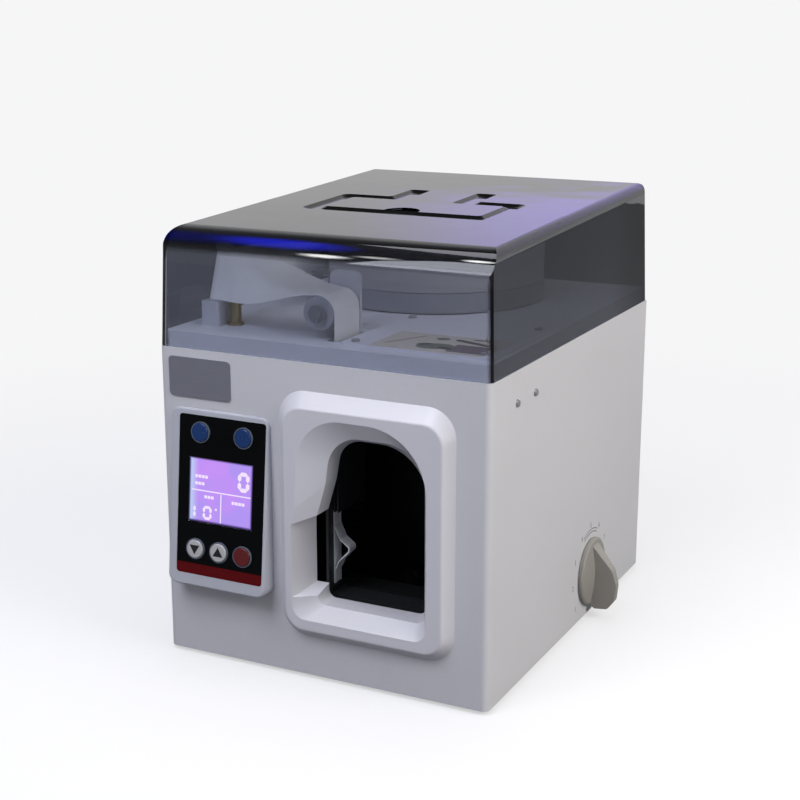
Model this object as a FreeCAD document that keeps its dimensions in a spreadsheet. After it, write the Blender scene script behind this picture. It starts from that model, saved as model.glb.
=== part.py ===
"""Desktop banknote strapping machine: paper tape from a reel under a smoked lid is
looped round a bundle held in the front slot, pressed, heat sealed and cut.

Millimetres, +Z up.  The origin is at the floor, at the centre of the whole footprint.
-Y is the operator's side, +X the side with the heat dial.
"""
import FreeCAD, Part
import Sketcher
from FreeCAD import Placement, Rotation, Vector

import math
import os

doc = FreeCAD.newDocument("StrappingMachine")
sheet = doc.addObject("Spreadsheet::Sheet", "Dims")

# ---------------------------------------------------------------- driving dimensions
SIZES = {
    # casing
    "body_width": 260.0,
    "body_depth": 323.0,
    "body_height": 231.0,
    "foot_height": 3.0,
    "foot_radius": 9.0,
    "foot_inset": 24.0,
    "sheet_wall": 2.0,
    "cover_corner": 5.0,
    "cover_flange": 11.0,
    "fit_gap": 0.3,
    "screw_radius": 1.5,
    "screw_head_radius": 3.0,
    "screw_head_height": 1.6,
    "side_screw_setback": 43.4,
    "side_screw_spacing": 32.9,
    "side_screw_height": 208.5,
    # rear panel
    "vent_length": 62.0,
    "vent_height": 3.2,
    "vent_pitch": 9.0,
    "vent_first_height": 140.0,
    "inlet_width": 27.0,
    "inlet_height": 20.0,
    "inlet_offset": 84.0,
    "inlet_centre_height": 34.0,
    "rocker_width": 19.0,
    "rocker_height": 13.0,
    "rocker_offset": 40.0,
    # raised slot frame and its funnel
    "slot_centre": 37.0,
    "slot_frame_width": 136.0,
    "slot_frame_low": 30.0,
    "slot_frame_high": 211.0,
    "slot_frame_proud": 7.5,
    "slot_frame_corner": 21.0,
    "slot_frame_edge": 2.5,
    "slot_frame_side_slope": 7.0,
    "slot_frame_top_slope": 11.0,
    "mouth_left": -12.0,
    "mouth_right": 86.5,
    "mouth_step_left": -15.5,
    "mouth_low_left": -18.5,
    "mouth_step": 115.0,
    "mouth_step_rise": 12.0,
    "mouth_low": 45.0,
    "mouth_high": 194.0,
    "mouth_left_arch": 35.0,
    "mouth_right_arch": 45.0,
    "mouth_low_corner": 10.0,
    "waist_right": 82.2,
    "waist_high": 181.4,
    "waist_left_arch": 25.0,
    "waist_right_arch": 30.0,
    "throat_left": -1.6,
    "throat_step_left": 5.5,
    "throat_high_left": 10.5,
    "throat_right": 76.0,
    "throat_step": 145.5,
    "throat_low": 55.7,
    "throat_high": 175.0,
    "throat_left_arch": 18.0,
    "throat_right_arch": 36.0,
    "throat_low_corner": 6.0,
    "throat_depth": 16.5,
    "slot_wall": 2.5,
    "side_bend": 12.0,
    "notch_left": -11.5,
    "notch_low": 66.0,
    "notch_face_low": 60.5,
    "notch_high": 118.0,
    "notch_lip": 122.0,
    # control panel, measured on its tilted face, its own middle and its top edge
    "panel_tilt": 5.8,
    "bezel_width": 82.0,
    "bezel_length": 131.0,
    "bezel_slot_gap": 6.8,
    "bezel_top_height": 188.0,
    "bezel_top_proud": 1.5,
    "bezel_corner": 7.0,
    "bezel_edge": 3.0,
    "bezel_wall": 3.0,
    "overlay_offset": 2.4,
    "overlay_width": 72.4,
    "overlay_top": 4.3,
    "overlay_length": 117.7,
    "overlay_thickness": 0.8,
    "overlay_sink": 1.0,
    "overlay_corner": 2.5,
    "lcd_offset": 1.8,
    "lcd_width": 54.0,
    "lcd_top": 35.0,
    "lcd_height": 47.7,
    "lcd_module_thickness": 7.0,
    "key_radius": 6.8,
    "key_ring_radius": 7.7,
    "key_ring_height": 1.4,
    "key_proud": 2.2,
    "key_travel": 0.9,
    "top_key_down": 16.4,
    "top_key_left": -15.5,
    "top_key_right": 20.5,
    "low_key_down": 102.5,
    "low_key_left": -17.4,
    "low_key_middle": 2.5,
    "low_key_right": 22.4,
    "board_depth": 13.0,
    "board_thickness": 1.6,
    # badge plate
    "badge_left": -121.5,
    "badge_width": 51.5,
    "badge_low": 196.0,
    "badge_height": 29.0,
    "badge_thickness": 1.0,
    "badge_corner": 3.0,
    # deck and lid
    "deck_height": 242.5,
    "deck_inset": 3.8,
    "deck_wall": 2.5,
    "deck_floor": 3.0,
    "deck_corner": 5.0,
    "lid_wall": 3.0,
    "lid_front_height": 315.5,
    "lid_rear_height": 327.5,
    "lid_front_round": 25.0,
    "lid_side_round": 8.0,
    "lid_rear_round": 3.0,
    "lid_draft": 3.2,
    "lid_corner": 7.0,
    "lid_seat_gap": 0.3,
    "lid_groove_depth": 2.0,
    "groove_side_run": 3.6,
    "groove_corner": 7.0,
    "groove_half_width": 78.0,
    "groove_front": 112.5,
    "groove_rear": 186.5,
    "groove_band": 13.0,
    "groove_front_band": 16.0,
    "groove_stub_inner": 20.0,
    "groove_stub_outer": 37.5,
    "groove_stub_end": 223.5,
    "dimple_radius": 14.0,
    "hinge_setout": 4.8,
    "hinge_knuckle_radius": 4.2,
    "hinge_pin_radius": 2.0,
    "hinge_lug_width": 18.0,
    "hinge_ear_width": 6.0,
    "hinge_spacing": 170.0,
    "hinge_running_gap": 0.05,
    # tape reel and tape
    "reel_centre_x": -12.0,
    "reel_centre_depth": 214.5,
    "reel_radius": 85.0,
    "reel_lift": 1.0,
    "reel_base_height": 15.5,
    "reel_core_radius": 41.0,
    "reel_core_wall": 3.0,
    "reel_hub_wall": 3.0,
    "spindle_radius": 8.0,
    "running_gap": 0.05,
    "tape_width": 36.0,
    "tape_thickness": 0.4,
    "tape_front": 24.0,
    "tape_drop_x": 1.6,
    "post_x": -103.0,
    "post_depth": 37.0,
    "post_lean": 8.0,
    "post_base_height": 18.0,
    "guide_pin_radius": 4.5,
    "guide_roller_radius": 12.2,
    "guide_roller_height": 18.5,
    "guide_axle_radius": 4.0,
    "bracket_width": 24.0,
    "bracket_height": 42.0,
    "bracket_thickness": 3.5,
    "cover_plate_left": 10.5,
    "cover_plate_thickness": 2.0,
    # heat dial on the right side
    "dial_depth": 202.0,
    "dial_height": 34.5,
    "knob_reach": 23.5,
    "knob_skirt_radius": 27.0,
    "knob_skirt_height": 4.0,
    "knob_gap": 0.6,
    "knob_grip_drop": 29.0,
    "knob_grip_rise": 23.0,
    "knob_grip_width": 13.0,
    "pot_shaft_radius": 3.0,
    "pot_bushing_radius": 4.5,
    "pot_body_radius": 12.0,
    # strapping mechanism
    "mech_plate": 2.0,
    "track_front": 22.0,
    "track_rear": 63.0,
    "track_clear": 3.0,
    "track_left_arch": 27.0,
    "feed_height": 205.0,
    "feed_roller_radius": 8.0,
    "pinch_roller_radius": 7.0,
    "feed_shaft_radius": 2.5,
    "feed_motor_size": 42.0,
    "feed_motor_length": 34.0,
    "cam_axis_x": -58.0,
    "cam_axis_depth": 47.5,
    "cam_radius": 12.0,
    "cam_lift": 6.0,
    "cam_turn": 150.0,
    "cam_thickness": 8.0,
    "camshaft_radius": 4.0,
    "bar_height": 10.0,
    "bar_width": 18.0,
    "bar_pitch": 19.0,
    "bar_first_height": 73.0,
    "press_block_left": -36.0,
    "press_block_right": -9.0,
    "press_motor_radius": 15.0,
    "note_stop_depth": 122.0,
    # electronics
    "main_board_left": -20.0,
    "main_board_front": 181.5,
    "main_board_width": 110.0,
    "main_board_depth": 120.0,
    "standoff_height": 8.0,
    "transformer_left": -110.0,
    "transformer_front": 191.5,
    "transformer_width": 58.0,
    "transformer_depth": 48.0,
    "transformer_height": 50.0,
}

for row, (alias, value) in enumerate(SIZES.items(), start=1):
    sheet.set(f"A{row}", alias)
    sheet.set(f"B{row}", str(value))
    sheet.setAlias(f"B{row}", alias)
doc.recompute()


class Size(float):
    """A length in mm that also keeps the sheet formula it was worked out by."""

    def __new__(cls, value, text):
        size = super().__new__(cls, value)
        size.text = text
        return size

    def __add__(self, other):
        return Size(float(self) + float(other), f"({self.text} + {formula(other)})")

    def __radd__(self, other):
        return Size(float(other) + float(self), f"({formula(other)} + {self.text})")

    def __sub__(self, other):
        return Size(float(self) - float(other), f"({self.text} - {formula(other)})")

    def __rsub__(self, other):
        return Size(float(other) - float(self), f"({formula(other)} - {self.text})")

    def __mul__(self, other):
        return Size(float(self) * float(other), f"({self.text} * {formula(other)})")

    def __truediv__(self, other):
        return Size(float(self) / float(other), f"({self.text} / {formula(other)})")

    def __neg__(self):
        return Size(-float(self), f"(0 - {self.text})")

    __rmul__ = __mul__


def formula(size):
    """The sheet formula of a size, or a plain number as text."""
    return size.text if isinstance(size, Size) else repr(float(size))


class Sheet:
    """Reads a size from the sheet by its alias."""

    def __getattr__(self, alias):
        return Size(sheet.get(alias), f"Dims.{alias}")


d = Sheet()


def trig(function, angle):
    """Sine, cosine or tangent of an angle in degrees, as a plain factor."""
    return Size(getattr(math, function)(math.radians(angle)), f"{function}({formula(angle)})")


# ---------------------------------------------------------------- building blocks
PLANES = {"X": "YZ_Plane", "Y": "XZ_Plane", "Z": "XY_Plane"}
AXES = {"X": Vector(1, 0, 0), "Y": Vector(0, 1, 0), "Z": Vector(0, 0, 1), "-X": Vector(-1, 0, 0)}
THROUGH = 1.0
CLOSE = 1e-4
NODES = []


def node(item, label):
    """Name a finished piece, which becomes one node of the machine."""
    item.Label = label
    NODES.append(item)
    return item


def place(item, where, axis="Z"):
    """Stand an item at a point, with its own Z along an axis."""
    item.Placement = Placement(Vector(), Rotation(AXES["Z"], AXES[axis]))
    for letter, size in zip("xyz", where):
        item.setExpression(f"Placement.Base.{letter}", formula(size))
    return item


def block(x, y, z):
    """A box between two corners; each argument is (low, high)."""
    item = doc.addObject("Part::Box", "Block")
    for side, (low, high) in zip(("Length", "Width", "Height"), (x, y, z)):
        item.setExpression(side, formula(high - low))
    return place(item, (x[0], y[0], z[0]))


def rod(where, axis, radius, length):
    """A cylinder that starts at a point and runs along an axis."""
    item = doc.addObject("Part::Cylinder", "Rod")
    item.setExpression("Radius", formula(radius))
    item.setExpression("Height", formula(length))
    return place(item, where, axis)


def hexagon(where, axis, radius, length):
    """A hexagonal bar, for nuts."""
    item = doc.addObject("Part::Prism", "Hexagon")
    item.Polygon = 6
    item.setExpression("Circumradius", formula(radius))
    item.setExpression("Height", formula(length))
    return place(item, where, axis)


def cone(where, axis, low_radius, high_radius, length):
    """A cone that starts at a point and runs along an axis."""
    item = doc.addObject("Part::Cone", "Cone")
    item.setExpression("Radius1", formula(low_radius))
    item.setExpression("Radius2", formula(high_radius))
    item.setExpression("Height", formula(length))
    return place(item, where, axis)


def joined(*items):
    """One solid from items that touch or overlap."""
    item = doc.addObject("Part::MultiFuse", "Joined")
    item.Shapes = list(items)
    item.Refine = True
    return item


def shared(*items):
    """The space that all the items share."""
    item = doc.addObject("Part::MultiCommon", "Shared")
    item.Shapes = list(items)
    item.Refine = True
    return item


def cut(base, *tools):
    """The base less each tool."""
    item = doc.addObject("Part::Cut", "Cut")
    item.Base = base
    item.Tool = tools[0] if len(tools) == 1 else group(*tools)
    item.Refine = True
    return item


def group(*items):
    """Separate solids kept side by side."""
    item = doc.addObject("Part::Compound", "Group")
    item.Links = list(items)
    return item


def on(**where):
    """Picks the edges that lie wholly at the given coordinates, such as z=12."""

    def wanted(edge):
        box = edge.BoundBox
        spans = {"x": (box.XMin, box.XMax), "y": (box.YMin, box.YMax), "z": (box.ZMin, box.ZMax)}
        return all(
            abs(end - place_) < 1e-3 for letter, place_ in where.items() for end in spans[letter]
        )

    return wanted


def to_point(geometry, end, across_, along):
    """The two dimensions that hold one point of a sketch, with their sizes."""
    return [
        (Sketcher.Constraint("DistanceX", -1, 1, geometry, end, float(across_)), across_),
        (Sketcher.Constraint("DistanceY", -1, 1, geometry, end, float(along)), along),
    ]


def draw_circle(sketch, across_, along, radius):
    """A circle given by its centre and radius; returns its dimensions."""
    centre = Vector(across_, along, 0)
    index = sketch.addGeometry(Part.Circle(centre, AXES["Z"], float(radius)))
    size = (Sketcher.Constraint("Radius", index, float(radius)), radius)
    return [size, *to_point(index, 3, across_, along)]


def draw_outline(sketch, corners):
    """A closed outline of straight sides; each corner is (across, along, radius)."""
    count = len(corners)
    spots = [Vector(across_, along, 0) for across_, along, _ in corners]
    ends, starts, centres = [], [], []
    for i, (across_, along, radius) in enumerate(corners):
        to_last = (spots[i - 1] - spots[i]).normalize()
        to_next = (spots[(i + 1) % count] - spots[i]).normalize()
        half = to_last.getAngle(to_next) / 2
        back = radius / math.tan(half)
        ends.append((across_ + back * to_last.x, along + back * to_last.y))
        starts.append((across_ + back * to_next.x, along + back * to_next.y))
        centres.append(spots[i] + (to_last + to_next).normalize() * (radius / math.sin(half)))
    sides = []
    for i in range(count):
        line = Part.LineSegment(Vector(*starts[i], 0), Vector(*ends[(i + 1) % count], 0))
        sides.append(sketch.addGeometry(line))
    sizes = []
    for i, (_, _, radius) in enumerate(corners):
        sizes += to_point(sides[i], 1, *starts[i])
        if not radius:
            sizes.append((Sketcher.Constraint("Coincident", sides[i - 1], 2, sides[i], 1), None))
            continue
        sizes += to_point(sides[i - 1], 2, *ends[i])
        # a sketch's arc runs anticlockwise, so an inward corner has its ends the other way round
        angles = [math.atan2(y - centres[i].y, x - centres[i].x) for x, y in (ends[i], starts[i])]
        outward = (angles[1] - angles[0]) % (2 * math.pi) < math.pi
        near, far = (1, 2) if outward else (2, 1)
        circle = Part.Circle(centres[i], AXES["Z"], float(radius))
        bend = sketch.addGeometry(Part.ArcOfCircle(circle, *(angles if outward else angles[::-1])))
        sizes.append((Sketcher.Constraint("Coincident", sides[i - 1], 2, bend, near), None))
        sizes.append((Sketcher.Constraint("Coincident", bend, far, sides[i], 1), None))
        sizes.append((Sketcher.Constraint("Radius", bend, float(radius)), radius))
    return sizes


def rectangle(across_, along, *radii):
    """An upright rectangle's corners, from the low one round to the high one.

    The radii are one for all corners, or four: low left, low right, high right, high left.
    """
    radii = radii * 4 if len(radii) == 1 else radii or (0, 0, 0, 0)
    places = [(0, 0), (1, 0), (1, 1), (0, 1)]
    return [(across_[i], along[j], radius) for (i, j), radius in zip(places, radii)]


def drawn(body, axis, level, shapes):
    """A sketch across an axis at a level, holding outlines and (across, along, radius) circles."""
    sketch = body.newObject("Sketcher::SketchObject", "Sketch")
    plane = next(item for item in body.Origin.OriginFeatures if item.Role == PLANES[axis])
    sketch.AttachmentSupport = [(plane, "")]
    sketch.MapMode = "FlatFace"
    # the XZ plane faces -Y, so its offset runs the other way
    sketch.setExpression("AttachmentOffset.Base.z", formula(-level if axis == "Y" else level))
    sizes = []
    for shape in shapes:
        sizes += draw_outline(sketch, shape) if isinstance(shape, list) else draw_circle(sketch, *shape)
    sketch.addConstraint([constraint for constraint, _ in sizes])
    for index, (_, size) in enumerate(sizes):
        if size is not None:
            sketch.renameConstraint(index, f"Size{index}")
            sketch.setExpression(f"Constraints.Size{index}", formula(size))
    return sketch


def pad(body, axis, span, *shapes):
    """Material between two levels of an axis; inner shapes are holes."""
    low, high = span
    feature = body.newObject("PartDesign::Pad", "Pad")
    feature.Profile = drawn(body, axis, high if axis == "Y" else low, shapes)
    feature.setExpression("Length", formula(high - low))
    return feature


def pocket(body, axis, span, *shapes):
    """A cut between two levels of an axis."""
    low, high = span
    feature = body.newObject("PartDesign::Pocket", "Pocket")
    feature.Profile = drawn(body, axis, low if axis == "Y" else high, shapes)
    feature.setExpression("Length", formula(high - low))
    return feature


def loft(body, kind, axis, *levels):
    """A ruled loft through (level, outline) pairs; kind is Additive or Subtractive."""
    sketches = [drawn(body, axis, level, [shape]) for level, shape in levels]
    feature = body.newObject(f"PartDesign::{kind}Loft", f"{kind}Loft")
    feature.Profile = sketches[0]
    feature.Sections = sketches[1:]
    feature.Ruled = True
    return feature


def fillet(body, radius, wanted):
    """Rounds the wanted edges of a body."""
    doc.recompute()
    tip = body.Tip
    names = [f"Edge{i}" for i, edge in enumerate(tip.Shape.Edges, start=1) if wanted(edge)]
    feature = body.newObject("PartDesign::Fillet", "Fillet")
    feature.Base = (tip, names)
    feature.setExpression("Radius", formula(radius))
    return feature


def turned(where, axis, *profiles):
    """A turned piece: outlines of (radius, height, corner) spun round its own Z."""
    body = doc.addObject("PartDesign::Body", "Turned")
    feature = body.newObject("PartDesign::Revolution", "Revolution")
    feature.Profile = drawn(body, "Y", 0.0, profiles)
    feature.ReferenceAxis = (feature.Profile[0], ["V_Axis"])
    feature.Angle = 360
    return place(body, where, axis)


def new_body():
    return doc.addObject("PartDesign::Body", "Body")


# ---------------------------------------------------------------- datums
HINGE_REACH = d.hinge_setout + d.hinge_knuckle_radius
BEZEL_REACH = d.bezel_top_proud + d.bezel_length * trig("sin", d.panel_tilt)
LEFT = -(d.body_width + d.knob_reach) / 2
RIGHT = LEFT + d.body_width
MIDDLE = LEFT + d.body_width / 2
FRONT = BEZEL_REACH - (d.body_depth + BEZEL_REACH + HINGE_REACH) / 2
REAR = FRONT + d.body_depth


def across(offset):
    """A place along X, counted from the middle of the casing."""
    return MIDDLE + offset


def inward(depth):
    """A place along Y, counted back from the front face."""
    return FRONT + depth


def up(height):
    """A place along Z, counted from the casing's lower edge."""
    return d.foot_height + height


PANEL_X = across(d.slot_centre - d.slot_frame_width / 2 - d.bezel_slot_gap - d.bezel_width / 2)
COVER_TOP = up(d.body_height)
INSIDE_LEFT = LEFT + d.sheet_wall + d.fit_gap
INSIDE_RIGHT = RIGHT - d.sheet_wall - d.fit_gap
BASE_TOP = up(d.sheet_wall)

SCREWS = []

# ---------------------------------------------------------------- base plate and feet
foot_spots = [
    (LEFT + d.foot_inset, FRONT + d.foot_inset),
    (RIGHT - d.foot_inset, FRONT + d.foot_inset),
    (LEFT + d.foot_inset, REAR - d.foot_inset),
    (RIGHT - d.foot_inset, REAR - d.foot_inset),
]
base_plate = new_body()
pad(
    base_plate,
    "Z",
    (up(0.0), BASE_TOP),
    rectangle(
        (INSIDE_LEFT, INSIDE_RIGHT),
        (FRONT + d.sheet_wall + d.fit_gap, REAR - d.sheet_wall - d.fit_gap),
        d.cover_corner - d.sheet_wall,
    ),
    *[(x, y, d.screw_radius + d.fit_gap) for x, y in foot_spots],
)
node(base_plate, "base_plate")


def foot(x, y):
    """A rubber foot with a recess that hides its screw's head."""
    recess = d.foot_height / 2
    return turned(
        (x, y, 0.0),
        "Z",
        [
            (d.screw_head_radius + d.fit_gap, 0.0, 0),
            (d.foot_radius, 0.0, 0),
            (d.foot_radius, d.foot_height, 0),
            (d.screw_radius + d.fit_gap, d.foot_height, 0),
            (d.screw_radius + d.fit_gap, recess, 0),
            (d.screw_head_radius + d.fit_gap, recess, 0),
        ],
    )


def foot_screw(x, y):
    """A screw that runs up through a foot and the base plate."""
    seat = d.foot_height / 2
    head_height = seat - d.fit_gap
    head = rod((x, y, d.fit_gap), "Z", d.screw_head_radius, head_height)
    shank = rod((x, y, seat), "Z", d.screw_radius, BASE_TOP + 3.0 - seat)
    return joined(head, shank)


node(group(*[foot(x, y) for x, y in foot_spots]), "rubber_feet")
SCREWS += [foot_screw(x, y) for x, y in foot_spots]

# ---------------------------------------------------------------- wrap-round cover
def cover_outline(inner_reach):
    """The U of the front and side walls, open at the back."""
    inner_corner = d.cover_corner - d.sheet_wall
    return [
        (LEFT, REAR, 0),
        (LEFT, FRONT, d.cover_corner),
        (RIGHT, FRONT, d.cover_corner),
        (RIGHT, REAR, 0),
        (RIGHT - inner_reach, REAR, 0),
        (RIGHT - inner_reach, FRONT + inner_reach, inner_corner),
        (LEFT + inner_reach, FRONT + inner_reach, inner_corner),
        (LEFT + inner_reach, REAR, 0),
    ]


panel_hole_side = d.bezel_width / 2 - d.bezel_wall - 0.5
panel_hole_low = up(d.bezel_top_height - d.bezel_length + 2 * d.bezel_wall)
panel_hole_high = up(d.bezel_top_height - d.bezel_wall - 1.0)
screw_spots = [d.side_screw_setback, d.side_screw_setback + d.side_screw_spacing]
PANEL_FRONT = REAR - d.sheet_wall
DIAL_Y = inward(d.dial_depth)
DIAL_Z = up(d.dial_height)
SLOT_CLEAR = d.slot_wall + 1.5

main_cover = new_body()
pad(main_cover, "Z", (up(0.0), COVER_TOP), cover_outline(d.sheet_wall))
pad(main_cover, "Z", (COVER_TOP - d.sheet_wall, COVER_TOP), cover_outline(d.cover_flange))
for x in (
    (LEFT + d.sheet_wall / 2, LEFT + d.cover_flange),
    (RIGHT - d.cover_flange, RIGHT - d.sheet_wall / 2),
):
    pad(
        main_cover,
        "Z",
        (BASE_TOP + d.fit_gap, COVER_TOP),
        rectangle(x, (PANEL_FRONT - d.sheet_wall, PANEL_FRONT)),
    )
pocket(
    main_cover,
    "Y",
    (FRONT - THROUGH, FRONT + d.sheet_wall + THROUGH),
    rectangle(
        (PANEL_X - panel_hole_side, PANEL_X + panel_hole_side),
        (panel_hole_low, panel_hole_high),
    ),
    rectangle(
        (
            across(d.mouth_low_left) - SLOT_CLEAR,
            across(d.mouth_right) + SLOT_CLEAR,
        ),
        (up(d.mouth_low) - SLOT_CLEAR, up(d.mouth_high) + SLOT_CLEAR),
        d.mouth_low_corner,
    ),
)
pocket(
    main_cover,
    "X",
    (RIGHT - d.sheet_wall - THROUGH, RIGHT + THROUGH),
    (DIAL_Y, DIAL_Z, d.pot_bushing_radius + d.fit_gap),
    *[(inward(y), up(d.side_screw_height), d.screw_radius + d.fit_gap) for y in screw_spots],
)
node(main_cover, "main_cover")


def side_screw(y):
    """A domed screw through the right wall into the mechanism's bracket."""
    z = up(d.side_screw_height)
    reach = 7.0
    head = cone((RIGHT, y, z), "X", d.screw_head_radius, d.screw_head_radius * 0.7, d.screw_head_height)
    shank = rod((RIGHT - reach, y, z), "X", d.screw_radius, reach + THROUGH / 2)
    return joined(head, shank)


SCREWS += [side_screw(inward(y)) for y in screw_spots]

# ---------------------------------------------------------------- rear panel, inlet and switch
INLET_X = across(-d.inlet_offset)
ROCKER_X = across(-d.rocker_offset)
SOCKET_Z = up(d.inlet_centre_height)
vent_spots = [up(d.vent_first_height + i * d.vent_pitch) for i in range(6)]
rear_panel = new_body()
pad(
    rear_panel,
    "Y",
    (PANEL_FRONT, REAR),
    rectangle((INSIDE_LEFT, INSIDE_RIGHT), (up(0.0), COVER_TOP - d.sheet_wall - d.fit_gap)),
    rectangle(
        (INLET_X - d.inlet_width / 2, INLET_X + d.inlet_width / 2),
        (SOCKET_Z - d.inlet_height / 2, SOCKET_Z + d.inlet_height / 2),
    ),
    rectangle(
        (ROCKER_X - d.rocker_width / 2, ROCKER_X + d.rocker_width / 2),
        (SOCKET_Z - d.rocker_height / 2, SOCKET_Z + d.rocker_height / 2),
    ),
)
vents = [
    block(
        (across(side - d.vent_length / 2), across(side + d.vent_length / 2)),
        (PANEL_FRONT - THROUGH, REAR + THROUGH),
        (z, z + d.vent_height),
    )
    for z in vent_spots
    for side in (-d.vent_length * 0.75, d.vent_length * 0.75)
]
node(cut(rear_panel, *vents), "rear_panel")

panel_screw_spots = [
    (x, up(z))
    for x in (LEFT + d.cover_flange * 0.65, RIGHT - d.cover_flange * 0.65)
    for z in (18.0, 115.0, 208.0)
]
SCREWS += [rod((x, REAR, z), "Y", d.screw_head_radius, d.screw_head_height) for x, z in panel_screw_spots]

inlet = new_body()
pad(
    inlet,
    "Y",
    (REAR, REAR + 3.0),
    rectangle(
        (INLET_X - d.inlet_width / 2 - 11.0, INLET_X + d.inlet_width / 2 + 11.0),
        (SOCKET_Z - d.inlet_height / 2 - 2.5, SOCKET_Z + d.inlet_height / 2 + 2.5),
        3.0,
    ),
)
pad(
    inlet,
    "Y",
    (REAR - 20.0, REAR + 1.0),
    rectangle(
        (INLET_X - d.inlet_width / 2 + d.fit_gap, INLET_X + d.inlet_width / 2 - d.fit_gap),
        (SOCKET_Z - d.inlet_height / 2 + d.fit_gap, SOCKET_Z + d.inlet_height / 2 - d.fit_gap),
    ),
)
inlet_socket = (d.inlet_width / 2 - 2.0, d.inlet_height / 2 - 2.0)
pocket_depth = 16.0
socket_cut = new_body()
pad(
    socket_cut,
    "Y",
    (REAR - pocket_depth, REAR + 4.0),
    rectangle(
        (INLET_X - inlet_socket[0], INLET_X + inlet_socket[0]),
        (SOCKET_Z - inlet_socket[1], SOCKET_Z + inlet_socket[1]),
        2.0,
        2.0,
        5.0,
        5.0,
    ),
)
inlet_pins = [
    block(
        (INLET_X + x - 1.0, INLET_X + x + 1.0),
        (REAR - pocket_depth, REAR - 2.0),
        (SOCKET_Z + z - 2.2, SOCKET_Z + z + 2.2),
    )
    for x, z in ((-7.0, -2.0), (0.0, 2.5), (7.0, -2.0))
]
node(group(cut(inlet, socket_cut), *inlet_pins), "power_inlet")

rocker_frame = new_body()
rocker_hollow = (d.rocker_width / 2 - 2.0, d.rocker_height / 2 - 1.8)
pad(
    rocker_frame,
    "Y",
    (REAR, REAR + 2.0),
    rectangle(
        (ROCKER_X - d.rocker_width / 2 - 1.5, ROCKER_X + d.rocker_width / 2 + 1.5),
        (SOCKET_Z - d.rocker_height / 2 - 1.5, SOCKET_Z + d.rocker_height / 2 + 1.5),
        1.0,
    ),
)
pad(
    rocker_frame,
    "Y",
    (REAR - 14.0, REAR + 1.0),
    rectangle(
        (ROCKER_X - d.rocker_width / 2 + d.fit_gap, ROCKER_X + d.rocker_width / 2 - d.fit_gap),
        (SOCKET_Z - d.rocker_height / 2 + d.fit_gap, SOCKET_Z + d.rocker_height / 2 - d.fit_gap),
    ),
)
rocker_cut = block(
    (ROCKER_X - rocker_hollow[0], ROCKER_X + rocker_hollow[0]),
    (REAR - 9.0, REAR + 3.0),
    (SOCKET_Z - rocker_hollow[1], SOCKET_Z + rocker_hollow[1]),
)
pivot_y = REAR - 1.5
pivot_radius = 1.0
pivot = rod(
    (ROCKER_X, pivot_y, SOCKET_Z - rocker_hollow[1] - 0.5), "Z", pivot_radius, 2 * rocker_hollow[1] + 1.0
)
node(joined(cut(rocker_frame, rocker_cut), pivot), "switch_frame")
rocker = new_body()
rocker_half = rocker_hollow[0] - 1.3
pad(
    rocker,
    "Z",
    (SOCKET_Z - rocker_hollow[1] + d.fit_gap, SOCKET_Z + rocker_hollow[1] - d.fit_gap),
    [
        (ROCKER_X - rocker_half, REAR + 0.6, 0.6),
        (ROCKER_X - rocker_half + 1.0, REAR - 3.0, 0),
        (ROCKER_X, REAR - 6.0, 2.0),
        (ROCKER_X + rocker_half - 1.0, REAR - 3.0, 0),
        (ROCKER_X + rocker_half, REAR + 4.2, 0.8),
        (ROCKER_X, REAR + 1.2, 0),
    ],
    (ROCKER_X, pivot_y, pivot_radius + d.running_gap),
)
node(rocker, "power_rocker")

# ---------------------------------------------------------------- raised slot frame
frame_low = up(d.slot_frame_low)
frame_high = up(d.slot_frame_high)
frame_side = d.slot_frame_width / 2
SLOT_X = across(d.slot_centre)
THROAT_BACK = FRONT + d.throat_depth


def inner_outline(right, high, left_arch, right_arch, grow):
    """The inside of the funnel, by its right and upper edge and the rounds of its arch."""
    left = across(d.throat_left) - grow
    low = up(d.throat_low) - grow
    return [
        (left, low, d.throat_low_corner + grow),
        (across(right) + grow, low, d.throat_low_corner + grow),
        (across(right) + grow, up(high) + grow, right_arch + grow),
        (across(d.throat_high_left) - grow, up(high) + grow, left_arch + grow),
        (across(d.throat_step_left) - grow, up(d.throat_step), d.side_bend),
        (left, up(d.notch_lip), 0),
    ]


def waist_outline(grow):
    """The funnel where its flare ends, level with the casing's front."""
    return inner_outline(d.waist_right, d.waist_high, d.waist_left_arch, d.waist_right_arch, grow)


def throat_outline(grow):
    """The opening at the back of the funnel, grown outwards by a wall."""
    return inner_outline(d.throat_right, d.throat_high, d.throat_left_arch, d.throat_right_arch, grow)


slot_frame = new_body()
frame_face = FRONT - d.slot_frame_proud
loft(
    slot_frame,
    "Additive",
    "Y",
    (
        FRONT,
        rectangle((SLOT_X - frame_side, SLOT_X + frame_side), (frame_low, frame_high), d.slot_frame_corner),
    ),
    (
        frame_face,
        rectangle(
            (
                SLOT_X - frame_side + d.slot_frame_side_slope,
                SLOT_X + frame_side - d.slot_frame_side_slope,
            ),
            (frame_low + d.slot_frame_side_slope, frame_high - d.slot_frame_top_slope),
            d.slot_frame_corner - d.slot_frame_side_slope,
        ),
    ),
)
fillet(slot_frame, d.slot_frame_edge, on(y=frame_face))
sleeve_front = FRONT - d.slot_frame_proud / 2
sleeve = new_body()
loft(
    sleeve,
    "Additive",
    "Y",
    (sleeve_front, waist_outline(d.slot_wall)),
    (FRONT, waist_outline(d.slot_wall)),
    (THROAT_BACK, throat_outline(d.slot_wall)),
)
notch_sleeve = new_body()
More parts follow.
